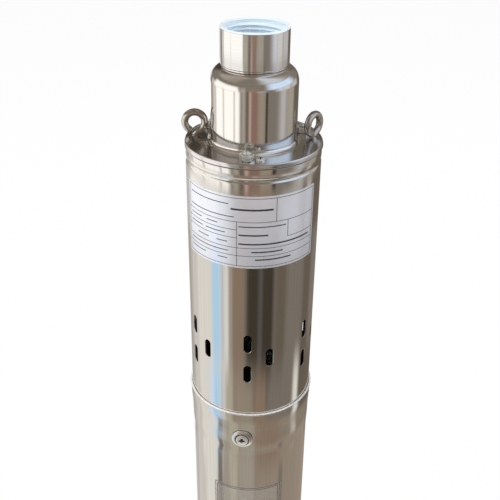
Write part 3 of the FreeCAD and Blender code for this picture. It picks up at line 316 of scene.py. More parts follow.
@dataclass(frozen=True)
class Layered(Finish):
    """Metal in thin layers across the axis, such as laminations or wound wire."""

    layers: float = 100.0

    def dress(self, tree: Tree) -> None:
        """Give the metal its layers.

        Args:
            tree: The material's tree.
        """
        wave = tree.add("TexWave", {"Vector": tree.place, "Scale": self.layers, "Distortion": 0.6},
                        bands_direction="Z")
        self.tone(tree, wave.outputs["Fac"])
        tree.relief(wave.outputs["Fac"], self.relief, 0.5)


@dataclass(frozen=True)
class ClearFilm(Finish):
    """Thin clear plastic with a silvery sheen."""

    opacity: float = 0.28
    sheen: float = 0.6

    def dress(self, tree: Tree) -> None:
        """Give the film its see-through body.

        Args:
            tree: The material's tree.
        """
        super().dress(tree)
        tree.feed(tree.shader.inputs["Alpha"], self.opacity)
        tree.feed(tree.shader.inputs["Coat Weight"], self.sheen)


CASING_STEEL = DrawnSteel("casing_steel", "casing_steel", (0.70, 0.675, 0.64), 0.09, 1.0, 0.05,
                          relief=0.002)
NECK_STEEL = DrawnSteel("neck_steel", "polished_steel", (0.76, 0.74, 0.71), 0.10, 1.0, 0.04,
                        relief=0.0015, wave=0.04, waves=45.0)
PLATE_STEEL = Finish("plate_steel", "polished_steel", (0.66, 0.65, 0.65), 0.17, 1.0, 0.06, 70.0, 0.06)
SOCKET_STEEL = TurnedSteel("socket_steel", "turned_steel", (0.76, 0.75, 0.73), 0.10, 1.0, 0.05,
                           relief=0.004)
# Painted light: the socket's thread and mouth are turned steel, given a pale sky-blue, barely metallic
# colour so that they look brightly lit inside the bore.
THREAD_PAINTED_LIGHT = TurnedSteel("thread_painted_light", "turned_steel", (0.80, 0.91, 0.99), 0.50, 0.15, 0.03)
MOUTH_PAINTED_LIGHT = TurnedSteel("mouth_painted_light", "turned_steel", (0.83, 0.92, 0.98), 0.40, 0.15, 0.03)
FASTENER_STEEL = Finish("fastener_steel", "fastener_steel", (0.68, 0.67, 0.64), 0.20, 1.0, 0.10, 500.0,
                        0.02)
NUT_STEEL = Finish("nut_steel", "fastener_steel", (0.74, 0.74, 0.69), 0.24, 0.72, 0.10, 500.0, 0.02)
# Painted highlight: a near-white, half-metallic finish that draws the white line along the motor tube's
# lip.
LIP_PAINTED_HIGHLIGHT = Finish("lip_painted_highlight", "casing_steel", (0.92, 0.91, 0.89), 0.35, 0.35, 0.04, 500.0, 0.004)
EYE_STEEL = Finish("eye_steel", "eye_steel", (0.52, 0.48, 0.43), 0.14, 1.0, 0.12, 350.0, 0.02)
# Painted shade: near-black steel for recesses, slot walls, the tube's inside and the washers' wells and
# feet, where shade falls.
SHADOW_STEEL = Finish("shadow_steel", "casing_steel", (0.032, 0.030, 0.028), 0.60, 0.3, 0.20, 600.0)
# Painted shade: near-black steel for the inner parts that are seen through the slots.
INNER_PAINTED_SHADE = Finish("inner_painted_shade", "turned_steel", (0.06, 0.057, 0.052), 0.55, 0.6, 0.20, 400.0)
CUP_STEEL = TurnedSteel("cup_steel", "polished_steel", (0.74, 0.72, 0.68), 0.26, 0.9, 0.06)
LABEL_PAPER = Finish("label_paper", "", (0.76, 0.775, 0.83), 0.28, 0.58, 0.02, 120.0, 0.004)
LABEL_INK = Finish("label_ink", "", (0.03, 0.03, 0.035), 0.5, 0.0, 0.15, 300.0, 0.001)
LABEL_GREY = Finish("label_grey", "", (0.08, 0.08, 0.09), 0.5, 0.0, 0.10, 300.0, 0.001)
LABEL_FILM = ClearFilm("label_film", "", (0.80, 0.77, 0.73), 0.25, 0.6, 0.05, 150.0, 0.003)

SLOT_FINISHES = {finish.slot: finish for finish in (
    CASING_STEEL,
    NECK_STEEL,
    TurnedSteel("turned_steel", "turned_steel", (0.66, 0.65, 0.63), 0.24, 1.0, 0.08),
    FASTENER_STEEL,
    EYE_STEEL,
    Finish("bearing_steel", "bearing_steel", (0.55, 0.55, 0.56), 0.12, 1.0, 0.05, 600.0, 0.003),
    Finish("rotor_chrome", "rotor_chrome", (0.80, 0.80, 0.82), 0.07, 1.0, 0.03, 300.0, 0.003),
    Layered("lamination_steel", "lamination_steel", (0.20, 0.20, 0.22), 0.45, 0.9, 0.25, relief=0.05),
    Layered("winding_copper", "winding_copper", (0.50, 0.22, 0.08), 0.35, 0.8, 0.30, relief=0.15,
            layers=60.0),
    Finish("cage_brass", "cage_brass", (0.62, 0.46, 0.22), 0.30, 1.0, 0.08, 500.0),
    Finish("cast_aluminium", "cast_aluminium", (0.58, 0.58, 0.58), 0.42, 1.0, 0.10, 900.0, 0.06),
    Finish("seal_rubber", "black_rubber", (0.06, 0.056, 0.052), 0.55, 0.0, 0.25, 700.0, 0.02),
    Finish("stator_rubber", "stator_rubber", (0.05, 0.05, 0.06), 0.45, 0.0, 0.20, 500.0, 0.02),
    Finish("seal_ceramic", "seal_ceramic", (0.80, 0.77, 0.70), 0.20, 0.0, 0.03, 400.0, 0.002),
    Finish("seal_carbon", "seal_carbon", (0.06, 0.06, 0.07), 0.30, 0.0, 0.10, 400.0, 0.002),
)}


# Shaping


def only(items: Iterable, kind: type) -> list:
    """Those items of an operator's result that are of one kind."""
    return [item for item in items if isinstance(item, kind)]


def everything(bm: BMesh) -> list:
    """All corners, edges and faces of a mesh."""
    return bm.verts[:] + bm.edges[:] + bm.faces[:]


def round_off(bm: BMesh, geom: list, setback: float, segments: int = 5, affect: str = "VERTICES") -> None:
    """Round corners or edges.

    Args:
        bm: The mesh.
        geom: The corners or edges.
        setback: How far back they are rounded.
        segments: How many straight runs make a rounding.
        affect: Whether corners or edges are rounded.
    """
    bmesh.ops.bevel(bm, geom=geom, offset=setback, offset_type="OFFSET", segments=segments,
                    profile=0.5, affect=affect, material=-1)


def cut(bm: BMesh, place: Vector | Place, normal: Vector | Place, clear: bool = False) -> list[BMEdge]:
    """Cut a whole mesh along a plane.

    Args:
        bm: The mesh.
        place: A place in the plane.
        normal: The plane's normal.
        clear: Whether what lies beyond the plane is taken away.

    Returns:
        The edges along the cut.
    """
    result = bmesh.ops.bisect_plane(bm, geom=everything(bm), dist=1e-5, plane_co=place, plane_no=normal,
                                    clear_outer=clear)
    return only(result["geom_cut"], BMEdge)


def fill(bm: BMesh) -> None:
    """Fill a flat drawing, leaving out the outlines inside it."""
    bmesh.ops.triangle_fill(bm, use_beauty=True, use_dissolve=False, edges=bm.edges[:], normal=UP)


def outline(bm: BMesh, corners: Sequence[Point]) -> list[BMVert]:
    """Draw a closed outline in the plane of X and Y.

    Args:
        bm: The mesh to draw in.
        corners: The outline's corners.

    Returns:
        Its corners in the mesh.
    """
    verts = [bm.verts.new((x, y, 0.0)) for x, y in corners]
    for pair in zip(verts, verts[1:] + verts[:1]):
        bm.edges.new(pair)
    return verts


def wire(bm: BMesh, points: Sequence[Point], closed: bool = True,
         rounds: dict[int, float] | None = None, segments: int = 5) -> None:
    """Draw a profile in the plane of X and Z and round some of its corners.

    Args:
        bm: The mesh to draw in.
        points: The profile's corners as radius and height.
        closed: Whether the last corner joins the first.
        rounds: How far back each corner, by its number, is rounded.
        segments: How many straight runs make a rounding.
    """
    verts = [bm.verts.new((x, 0.0, z)) for x, z in points]
    for pair in zip(verts, verts[1:]):
        bm.edges.new(pair)
    if closed:
        bm.edges.new((verts[-1], verts[0]))
    for number, setback in (rounds or {}).items():
        round_off(bm, [verts[number]], setback, segments)


def lathe(points: Sequence[Point], steps: int = 96, closed: bool = True,
          rounds: dict[int, float] | None = None, segments: int = 5) -> BMesh:
    """Turn a profile about the pump's axis.

    Args:
        points: The profile's corners as radius and height.
        steps: The number of facets.
        closed: Whether the last corner joins the first.
        rounds: How far back each corner, by its number, is rounded.
        segments: How many straight runs make a rounding.

    Returns:
        The turned mesh, in millimetres.
    """
    bm = bmesh.new()
    wire(bm, points, closed, rounds, segments)
    bmesh.ops.spin(bm, geom=everything(bm), cent=CENTRE, axis=UP, angle=TURN, steps=steps, use_merge=True)
    return bm


def thread(radius: float, tip: float, pitch: float, bottom: float, top: float, steps: int) -> BMesh:
    """Wind a V-shaped ridge round the axis.

    Args:
        radius: The radius of the ridge's root.
        tip: The radius of its crest, smaller than the root for an inside thread.
        pitch: The rise of one turn.
        bottom: The lowest level of the ridge.
        top: Its highest level.
        steps: The number of facets to a turn.

    Returns:
        The ridge, capped at both ends.
    """
    bm = bmesh.new()
    half = pitch * 0.46
    crest = pitch * 0.06
    low = bottom + half
    wire(bm, [(radius, low - half), (tip, low - crest), (tip, low + crest), (radius, low + half)])
    count = max(1, round((top - bottom - 2 * half) / pitch * steps))
    first = bm.edges[:]
    last = bmesh.ops.spin(bm, geom=everything(bm), cent=CENTRE, axis=UP, dvec=(0.0, 0.0, pitch / steps),
                          angle=TURN * count / steps, steps=count, use_merge=False)["geom_last"]
    for edges in (first, only(last, BMEdge)):
        bmesh.ops.contextual_create(bm, geom=edges)
    return bm


def azimuth_turn(degrees: float) -> Matrix:
    """The turn about the axis that takes the front to an azimuth."""
    return Matrix.Rotation(math.radians(degrees), 4, "Z")


def spot(radius: float, degrees: float) -> Point:
    """The X and Y of a place at a radius and an azimuth from the front."""
    angle = math.radians(degrees)
    return radius * math.sin(angle), -radius * math.cos(angle)


def placed(bm: BMesh, move: Matrix | Place) -> BMesh:
    """Turn or shift a whole mesh.

    Args:
        bm: The mesh.
        move: The turn, or the shift along X, Y and Z.

    Returns:
        The same mesh.
    """
    matrix = move if isinstance(move, Matrix) else Matrix.Translation(move)
    bmesh.ops.transform(bm, matrix=matrix, verts=bm.verts)
    return bm


def join(parts: Sequence[BMesh]) -> BMesh:
    """Put several meshes into one.

    Args:
        parts: The meshes, which are used up.

    Returns:
        The one mesh.
    """
    whole = bmesh.new()
    for part in parts:
        mesh = bpy.data.meshes.new("part")
        part.to_mesh(mesh)
        part.free()
        whole.from_mesh(mesh)
        bpy.data.meshes.remove(mesh)
    return whole


def panel(low: Point, high: Point, rounding: float = 0.0) -> BMesh:
    """Cut a flat sheet: X along the girth, Y up, Z outward.

    Args:
        low: Its left lower corner.
        high: Its right upper corner.
        rounding: How far back the corners are rounded.

    Returns:
        The sheet.
    """
    bm = bmesh.new()
    corners = [low, (high[0], low[1]), high, (low[0], high[1])]
    bm.faces.new([bm.verts.new((x, y, 0.0)) for x, y in corners])
    if rounding > 0:
        round_off(bm, bm.verts[:], rounding)
    return bm


def score(bm: BMesh, step: float) -> None:
    """Divide a flat sheet by upright lines, so that it can bend round the axis.

    Args:
        bm: The sheet.
        step: The distance between the lines.
    """
    left = min(vert.co.x for vert in bm.verts)
    right = max(vert.co.x for vert in bm.verts)
    for number in range(math.ceil(left / step + 0.001), math.ceil(right / step - 0.001)):
        cut(bm, (number * step, 0.0, 0.0), (1.0, 0.0, 0.0))


def wrap(bm: BMesh, radius: float) -> BMesh:
    """Bend a flat sheet round the pump's axis.

    Args:
        bm: The sheet, with its girth along X at that radius.
        radius: The radius of its outer face.

    Returns:
        The bent sheet.
    """
    for vert in bm.verts:
        girth, level, depth = vert.co
        vert.co = (*spot(radius + depth, math.degrees(girth / radius)), level)
    return bm


def mark(bm: BMesh, test: Callable[[Vector, Vector], bool]) -> BMesh:
    """Mark the faces that take the piece's second finish.

    Args:
        bm: The mesh.
        test: Whether a face with this middle and this normal is one of them.

    Returns:
        The same mesh.
    """
    bm.normal_update()
    for face in bm.faces:
        if test(face.calc_center_median(), face.normal):
            face.material_index = 1
    return bm


def stand(name: str, bm: BMesh, finishes: Sequence[bpy.types.Material]) -> bpy.types.Object:
    """Turn a mesh, which is used up, into an object of the scene.

    Args:
        name: The object's name.
        bm: Its mesh in metres.
        finishes: Its materials.

    Returns:
        The object.
    """
    mesh = bpy.data.meshes.new(name)
    bm.to_mesh(mesh)
    bm.free()
    for finish in finishes:
        mesh.materials.append(finish)
    thing = bpy.data.objects.new(name, mesh)
    bpy.context.scene.collection.objects.link(thing)
    return thing


def make_piece(name: str, bm: BMesh, finish: Finish, replaces: Sequence[str] = (), sharp: float = 35.0,
               even: bool = True, second: Finish | None = None) -> bpy.types.Object:
    """Turn a mesh in millimetres into a finished piece of the housing.

    Args:
        name: The piece's name.
        bm: Its mesh, which is used up.
        finish: Its finish.
        replaces: The solids that it stands for.
        sharp: The angle between faces, in degrees, from which an edge is sharp.
        even: Whether large faces keep their own shading next to small ones.
        second: The finish of the faces that are marked for it.

    Returns:
        The piece.
    """
    bmesh.ops.remove_doubles(bm, verts=bm.verts, dist=1e-4)
    bmesh.ops.recalc_face_normals(bm, faces=bm.faces)
    for face in bm.faces:
        face.smooth = True
    placed(bm, Matrix.Scale(MM, 4))
    piece = stand(name, bm, [each.material() for each in (finish, second) if each])
    piece.data.set_sharp_from_angle(angle=math.radians(sharp))
    if even:
        weights = piece.modifiers.new("even_shading", "WEIGHTED_NORMAL")
        weights.keep_sharp = True
    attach(piece, HOUSING)
    if replaces:
        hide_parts(*replaces)
    log.info("%s: %d faces", name, len(piece.data.polygons))
    return piece


# Sub-assemblies


@dataclass
class Outlet:
    """The threaded outlet socket on top of the neck."""

    radius: float = 18.5
    height: float = 20.5
    core: float = 15.15
    depth: float = 1.45
    pitch: float = 2.309
    spigot: float = 16.8
    spigot_depth: float = 1.5
    undercut: float = 0.45
    undercut_levels: Point = (0.7, 1.1)
    chamfer: float = 0.5
    mouth: float = 0.65
    collar: float = 0.3
    collar_ends: Point = (0.8, 1.2)
    thread_ends: Point = (0.6, 0.9)
    painted_light_level: float = 2.0
    sink: float = 0.05
    facets: int = 128
    thread_facets: int = 72

    def build(self) -> None:
        """Make the socket and its inside thread."""
        top = NECK_TOP + self.height
        root = self.core + self.depth
        bore = root - self.collar
        foot = NECK_TOP - self.spigot_depth
        profile = [
            (bore, foot),
            (self.spigot, foot),
            (self.spigot, NECK_TOP - self.sink),
            (self.radius - self.undercut, NECK_TOP - self.sink),
            (self.radius - self.undercut, NECK_TOP + self.undercut_levels[0]),
            (self.radius, NECK_TOP + self.undercut_levels[1]),
            (self.radius, top - self.chamfer),
            (self.radius - self.chamfer, top),
            (bore + self.mouth, top),
            (bore, top - self.mouth),
            (root, top - self.collar_ends[1]),
            (root, foot + self.collar_ends[0]),
        ]
        shell = lathe(profile, self.facets, rounds={5: 0.25, 6: 0.3, 7: 0.3, 8: 0.15}, segments=3)
        # Painted light: the mouth and the upper bore take the pale sky-blue finish, and the thread below
        # takes it too.
        mark(shell, lambda middle, _: middle.z > top - self.mouth - self.sink or
             (middle.z > NECK_TOP + self.painted_light_level and middle.xy.length < (root + self.radius) / 2))
        make_piece("outlet_socket_shell", shell, SOCKET_STEEL, replaces=("outlet_socket",),
                   second=MOUTH_PAINTED_LIGHT)
        ridge = thread(root + self.sink, self.core, self.pitch, foot + self.thread_ends[0],
                       top - self.thread_ends[1], self.thread_facets)
        make_piece("outlet_thread", ridge, THREAD_PAINTED_LIGHT, even=False)


@dataclass
class Head:
    """The drawn neck and the plate with its raised rim."""

    neck_radius: float = 23.9
    wall: float = 1.5
    shoulder: float = 5.2
    dome: tuple[Point, ...] = ((0.0, -6.2), (-1.8, -2.2), (-5.0, -0.4))
    dome_rounds: tuple[float, ...] = (2.1, 2.1, 1.4)
    fillet: float = 2.8
    foot: float = 0.04
    rim_outer: float = 38.6
    rim_inner: float = 37.54
    rim_height: float = 2.7
    lip_flat: float = 0.45
    lip_fall: float = 1.3
    skirt: float = 37.1
    boss: float = 27.4
    plate_bottom: float = 491.6
    gasket_top: float = 489.1
    grommet_place: float = 32.3
    grommet_hole: float = 4.05
    throat: float = 16.9
    play: float = 0.1
    sink: float = 0.02
    facets: int = 144
    neck_facets: int = 216
    hole_facets: int = 32

    def build(self) -> None:
        """Make the neck and the plate."""
        self.build_neck()
        self.build_plate()

    def build_neck(self) -> None:
        """Make the neck, from its foot on the plate to its rounded shoulder."""
        outer = self.neck_radius
        inner = outer - self.wall
        foot_top = PLATE_TOP + self.foot
        profile = [
            (inner, self.gasket_top),
            (outer, self.gasket_top),
            (outer, PLATE_TOP - self.play),
            (outer + self.fillet, PLATE_TOP - self.sink),
            (outer + self.fillet, foot_top),
            (outer, foot_top + self.sink),
            *((outer + across, NECK_TOP + up) for across, up in self.dome),
            (self.throat, NECK_TOP),
            (self.throat, NECK_TOP - self.wall),
            (inner, NECK_TOP - self.wall),
        ]
        rounds = {5: self.fillet - 0.05, **dict(enumerate(self.dome_rounds, 6)), 11: self.shoulder}
        neck = lathe(profile, self.neck_facets, rounds=rounds, segments=12)
        make_piece("neck_shell", neck, NECK_STEEL, replaces=("discharge_neck",), sharp=40.0)

    def build_plate(self) -> None:
        """Make the plate, with the grommet's hole through it, and its rim."""
        lip = self.rim_outer - self.rim_inner
        clear = self.neck_radius + self.play
        rim = lathe([
            (self.rim_inner, PLATE_TOP),
            (self.rim_inner, RIM_LEVEL),
            (self.rim_outer - lip * self.lip_flat, RIM_LEVEL),
            (self.rim_outer, RIM_LEVEL - lip * self.lip_fall),
            (self.rim_outer, RIM_LEVEL - self.rim_height),
            (self.skirt, RIM_LEVEL - self.rim_height),
            (self.skirt, self.plate_bottom),
        ], self.facets, closed=False, rounds={1: 0.25, 2: 0.5, 3: 0.85, 4: 0.35})
        boss = lathe([
            (self.boss, self.plate_bottom),
            (self.boss, self.gasket_top),
            (clear, self.gasket_top),
            (clear, PLATE_TOP),
        ], self.facets, closed=False)
        discs = []
        for level, inner, outer in ((PLATE_TOP, clear, self.rim_inner),
                                    (self.plate_bottom, self.boss, self.skirt)):
            disc = bmesh.new()
            for radius, y, steps in ((inner, 0.0, self.facets), (outer, 0.0, self.facets),
                                     (self.grommet_hole, self.grommet_place, self.hole_facets)):
                bmesh.ops.create_circle(disc, radius=radius, segments=steps,
                                        matrix=Matrix.Translation((0.0, y, level)))
            fill(disc)
            discs.append(disc)
        hole = lathe([(self.grommet_hole, level) for level in (self.plate_bottom, PLATE_TOP)],
                     self.hole_facets, closed=False)
        placed(hole, (0.0, self.grommet_place, 0.0))
        make_piece("plate_shell", join([rim, boss, *discs, hole]), PLATE_STEEL, replaces=("head_plate",),
                   sharp=50.0)


@dataclass
class PlateHardware:
    """Studs, nuts and the small screw on the plate."""

    circle: float = 30.3
    azimuths: tuple[float, ...] = (-5.5, 114.5, -125.5)
    stud_radius: float = 2.0
    stud_bottom: float = 477.8
    stud_top: float = 499.6
    thread_depth: float = 0.4
    thread_ends: Point = (0.2, 0.3)
    point: float = 0.4
    pitch: float = 0.7
    flats: float = 7.0
    nut_height: float = 3.2
    nut_face: float = 0.96
    nut_mouths: Point = (0.3, 0.4)
    play: float = 0.05
    screw_place: Point = (31.45, 7.9)
    screw_head: Point = (2.3, 1.7)
    screw_arm: float = 0.8
    screw_shank: Point = (1.25, -7.0)
    chamfer: float = 0.45

    def build(self) -> None:
        """Make the hardware."""
        studs = [self.on_circle(self.stud(), azimuth) for azimuth in self.azimuths]
        make_piece("threaded_studs", join(studs), NUT_STEEL, replaces=("head_studs",), even=False)
        nuts = [self.on_circle(self.nut(), azimuth) for azimuth in self.azimuths]
        make_piece("stud_nuts", join(nuts), NUT_STEEL, replaces=("head_nuts",))
        head = RecessedHead(*self.screw_head, self.screw_arm, 5).make()
        side, tip = self.screw_shank
        shank = lathe([(0.0, tip), (side, tip), (side, 0.1), (0.0, 0.1)], 24)
        screw = placed(join([head, shank]), (*spot(*self.screw_place), PLATE_TOP))
        make_piece("recessed_plate_screw", screw, NUT_STEEL, replaces=("plate_screw",),
                   second=SHADOW_STEEL)

    def on_circle(self, bm: BMesh, azimuth: float) -> BMesh:
        """Move a mesh made at the axis to an azimuth on the bolt circle."""
        return placed(placed(bm, (0.0, -self.circle, 0.0)), azimuth_turn(azimuth))

    def stud(self) -> BMesh:
        """Make one stud with its outside thread.

        Returns:
            The stud, standing on the pump's axis.
        """
        core = self.stud_radius - self.thread_depth
        bottom, top = self.stud_bottom, self.stud_top
        low, high = self.thread_ends
        rod = lathe([(0.0, bottom), (core, bottom), (core, top - self.point), (core - self.point, top),
                     (0.0, top)], 32)
        ridge = thread(core - 0.02, self.stud_radius, self.pitch, bottom + low, top - high, 24)
        return join([rod, ridge])

    def nut(self) -> BMesh:
        """Make one hexagon nut with chamfered corners and mouths.

        Returns:
            The nut, lying round the pump's axis.
        """
        corner = self.flats / math.sqrt(3) + self.play
        face = self.flats / 2 * self.nut_face
        bore = self.stud_radius + self.play
        low, high = self.nut_mouths
        top = PLATE_TOP + self.nut_height
        bm = lathe([
            (bore, PLATE_TOP + low),
            (bore + low, PLATE_TOP),
            (face, PLATE_TOP),
            (corner, PLATE_TOP + self.chamfer),
            (corner, top - self.chamfer),
            (face, top),
            (bore + high, top),
            (bore, top - high),
        ], 72)
        for side in range(6):
            normal = Vector((*spot(1.0, 60.0 * side), 0.0))
            bmesh.ops.contextual_create(bm, geom=cut(bm, normal * self.flats / 2, normal, clear=True))
        return bm


@dataclass
class RecessedHead:
    """A domed screw head with a cross recess, standing on the plane of X and Y."""

    radius: float
    height: float
    arm: float
    rings: int
    inside: float = 0.7
    reach: float = 0.62
    edge: float = 0.45
    floor: float = 0.25
    taper: float = 0.55
    facets: int = 48

    def make(self) -> BMesh:
        """Make the head, its dome divided into rings.

        Returns:
            The head.
        """
        bm = bmesh.new()
        half = self.arm / 2
        reach = self.radius * self.reach
        bmesh.ops.create_circle(bm, radius=self.radius, segments=self.facets)
        outline(bm, [(half, half), (reach, half), (reach, -half), (half, -half), (half, -reach),
                     (-half, -reach), (-half, -half), (-reach, -half), (-reach, half), (-half, half),
                     (-half, reach), (half, reach)])
        fill(bm)
        for number in range(1, self.rings * 2):
            place = self.radius * (number / self.rings - 1)
            for normal in ((1.0, 0.0, 0.0), (0.0, 1.0, 0.0)):
                cut(bm, Vector(normal) * place, normal)
        edges = [edge for edge in bm.edges if edge.is_boundary]
        inside = self.radius * self.inside
        walls = [edge for edge in edges if all(vert.co.xy.length < inside for vert in edge.verts)]
        rim = [edge for edge in edges if edge not in walls]
        for vert in bm.verts:
            share = min(1.0, vert.co.xy.length / self.radius)
            vert.co.z = self.height * (self.edge + (1 - self.edge) * (1 - share * share))
        floor = self.height * self.floor
        down = bmesh.ops.extrude_edge_only(bm, edges=walls)["geom"]
        for vert in only(down, BMVert):
            vert.co = (vert.co.x * self.taper, vert.co.y * self.taper, floor)
        side = bmesh.ops.extrude_edge_only(bm, edges=rim)["geom"]
        for vert in only(side, BMVert):
            vert.co.z = 0.0
        for loop in (down, side):
            bmesh.ops.edgeloop_fill(bm, edges=only(loop, BMEdge))
        # Painted shade: the walls and floor of the cross recess take the near-black second finish.
        return mark(bm, lambda middle, normal: middle.xy.length < reach * 1.05 and middle.z >= floor - 0.01
                    and (abs(normal.z) < 0.75 or middle.z < floor + 0.01))


class Side(Enum):
    """The two rope eyes: azimuth on the plate and turn about their own shank, in degrees."""

    LEFT = (-98.0, 4.0)
    RIGHT = (97.0, 51.0)


@dataclass
class RopeEye:
    """An eye bolt bent from wire: an open ring, a bend and a shank."""

    side: Side
    circle: float = 33.3
    level: float = 502.7
    ring: float = 5.5
    wire_radius: float = 2.0
    opening: float = 21.0
    gap: float = 22.0
    shank_end: float = -16.7
    end_rounding: float = 0.35
    steps: int = 20

    def build(self) -> None:
        """Bend the eye from one wire and stand it on the plate."""
        azimuth, twist = self.side.value
        opening = math.radians(self.opening)
        bend = self.ring * math.sin(opening) / (1 - math.sin(opening))
        knee = -(self.ring + bend) * math.cos(opening)
        bm = bmesh.new()
        bmesh.ops.create_circle(bm, radius=self.wire_radius, segments=self.steps)
        placed(placed(bm, (self.ring, 0.0, 0.0)), Matrix.Rotation(math.radians(self.gap - 270.0), 4, "Y"))
        first = bm.edges[:]
        wire_end = everything(bm)
        for centre, sweep, steps in ((CENTRE, 360.0 - self.gap - self.opening, 72),
                                     ((bend, 0.0, knee), self.opening - 90.0, 12)):
            wire_end = bmesh.ops.spin(bm, geom=wire_end, cent=centre, axis=(0.0, 1.0, 0.0), steps=steps,
                                      angle=math.radians(sweep), use_merge=False)["geom_last"]
        shank = bmesh.ops.extrude_edge_only(bm, edges=only(wire_end, BMEdge))["geom"]
        bmesh.ops.translate(bm, vec=(0.0, 0.0, self.shank_end - knee), verts=only(shank, BMVert))
        for loop in (first, only(shank, BMEdge)):
            cap = bmesh.ops.edgeloop_fill(bm, edges=loop)["faces"]
            rims = [edge for face in cap for edge in face.edges]
            round_off(bm, rims, self.end_rounding, 2, "EDGES")
        placed(placed(bm, azimuth_turn(twist)), (*spot(self.circle, azimuth), self.level))
        name = f"eye_bolt_{self.side.name.lower()}"
        make_piece(f"{name}_wire", bm, EYE_STEEL, replaces=(name,))


@dataclass
class PumpTube:
    """The pump's casing: a tube with a rolled groove and three rows of inlet slots."""

    radius: float = 38.0
    wall: float = 0.8
    bottom: float = 326.4
    top: float = 492.3
    groove: float = 485.8
    groove_depth: float = 0.75
    groove_width: float = 3.2
    groove_floor: float = 0.3
    groove_slopes: Point = (0.1, 0.4)
    groove_rounds: tuple[float, ...] = (0.5, 0.4, 0.4, 0.5)
    end_round: float = 0.15
    slot_width: float = 4.2
    slot_length: float = 12.3
    slot_edge: float = 0.35
    columns: int = 6
    rows: tuple[tuple[float, float], ...] = ((382.1, -1.8), (371.7, 18.2), (360.3, -1.8))
    band: tuple[float, float] = (328.5, 440.0)
    seam: float = 155.0
    margin: float = 1.0
    weld: float = 0.02
    skin: float = 0.03
    shade_depth: float = 0.45
    facets: int = 288

    def build(self) -> None:
        """Make the tube in one piece from a plain foot, the slotted band and a grooved top."""
        low, high = self.band
        inner = self.radius - self.wall
        foot = lathe([(self.radius, low), (self.radius, self.bottom), (inner, self.bottom), (inner, low)],
                     self.facets, closed=False, rounds={1: self.end_round, 2: self.end_round}, segments=2)
        deep = self.radius - self.groove_depth
        half = self.groove_width / 2
        floor = half * self.groove_floor
        outside, inside = (half + slope for slope in self.groove_slopes)
        crown = lathe([
            (self.radius, high),
            (self.radius, self.groove - outside),
            (deep, self.groove - floor),
            (deep, self.groove + floor),
            (self.radius, self.groove + outside),
            (self.radius, self.top),
            (inner, self.top),
            (inner, self.groove + inside),
            (deep - self.wall, self.groove + floor),
            (deep - self.wall, self.groove - floor),
            (inner, self.groove - inside),
            (inner, high),
        ], self.facets, closed=False, segments=4,
            rounds={**dict(enumerate(self.groove_rounds, 1)), 5: self.end_round, 6: self.end_round})
        bm = join([foot, self.slotted_band(), crown])
        bmesh.ops.remove_doubles(bm, verts=bm.verts, dist=self.weld)
        # Painted shade: the slot walls and the tube's inside below the band's top take the near-black
        # second finish.
        within = self.radius - self.shade_depth
        mark(bm, lambda middle, _: middle.z < high and middle.xy.length < within)
        piece = make_piece("slotted_casing", bm, CASING_STEEL, replaces=("pump_casing",), sharp=30.0,
                           even=False, second=SHADOW_STEEL)
        self.true_up(piece)

    def slotted_band(self) -> BMesh:
        """The middle of the tube, cut flat with its slots and bent round.

        Returns:
            The band, open at its top and bottom.
        """
        low, high = self.band
        girth = TURN * self.radius
        bm = bmesh.new()
        outline(bm, [(0.0, low), (girth, low), (girth, high), (0.0, high)])
        for level, azimuth in self.rows:
            for column in range(self.columns):
                angle = (azimuth + 360.0 / self.columns * column - self.seam) % 360.0
                self.draw_slot(bm, math.radians(angle) * self.radius, level)
        fill(bm)
        score(bm, girth / self.facets)
        bmesh.ops.recalc_face_normals(bm, faces=bm.faces)
        if sum(face.normal.z for face in bm.faces) < 0:
            bmesh.ops.reverse_faces(bm, faces=bm.faces)
        bmesh.ops.solidify(bm, geom=bm.faces[:], thickness=self.wall)
        ends = [face for face in bm.faces if self.is_cut_end(face, girth)]
        bmesh.ops.delete(bm, geom=ends, context="FACES_ONLY")
        margin = self.margin
        rims = [edge for edge in bm.edges if self.is_slot_rim(edge) and
                all(low + margin < vert.co.y < high - margin and margin < vert.co.x < girth - margin
                    for vert in edge.verts)]
        round_off(bm, rims, self.slot_edge, 3, "EDGES")
        return placed(wrap(bm, self.radius), azimuth_turn(self.seam))

    def draw_slot(self, bm: BMesh, middle: float, level: float) -> None:
        """Draw one round-ended slot on the flat sheet.

        Args:
            bm: The sheet's mesh.
            middle: The slot's place along the girth.
            level: The level of its middle.
        """
        half = self.slot_width / 2
        reach = self.slot_length / 2
        verts = outline(bm, [(middle - half, level - reach), (middle + half, level - reach),
                             (middle + half, level + reach), (middle - half, level + reach)])
        round_off(bm, verts, half - 0.002, 6)

    @staticmethod
    def is_slot_rim(edge: BMEdge) -> bool:
        """Whether an edge runs round a slot on the flat sheet's outer face.

        Args:
            edge: The edge.

        Returns:
            Whether it lies in the outer face, between that face and a slot's wall.
        """
        if len(edge.link_faces) != 2 or any(abs(vert.co.z) > 1e-4 for vert in edge.verts):
            return False
        flat = [abs(face.normal.z) > 0.9 for face in edge.link_faces]
        return flat[0] != flat[1]

    def is_cut_end(self, face: BMFace, girth: float) -> bool:
        """Whether a face closes the flat band where it will be joined.

        Args:
            face: The face.
            girth: The length of the flat band.

        Returns:
            Whether all its corners lie on one outer edge of the band.
        """
        low, high = self.band
        return any(all(abs(vert.co[axis] - place) < self.weld for vert in face.verts)
                   for axis, place in ((0, 0.0), (0, girth), (1, low), (1, high)))

    def true_up(self, piece: bpy.types.Object) -> None:
        """Shade the straight walls of the slotted band as the round tube that they are.

        Args:
            piece: The tube.
        """
        mesh = piece.data
        low, high = (level * MM for level in self.band)
        normals = [corner.vector.copy() for corner in mesh.corner_normals]
        for face in mesh.polygons:
            reach = face.center.xy.length / MM
            if self.radius - self.wall + self.skin < reach < self.radius - self.skin:
                continue
            for index in face.loop_indices:
                point = mesh.vertices[mesh.loops[index].vertex_index].co
                if low - 1e-5 <= point.z <= high + 1e-5:
                    outward = Vector((point.x, point.y, 0.0)).normalized()
                    normals[index] = outward if reach > self.radius - self.wall / 2 else -outward
        mesh.normals_split_custom_set(normals)


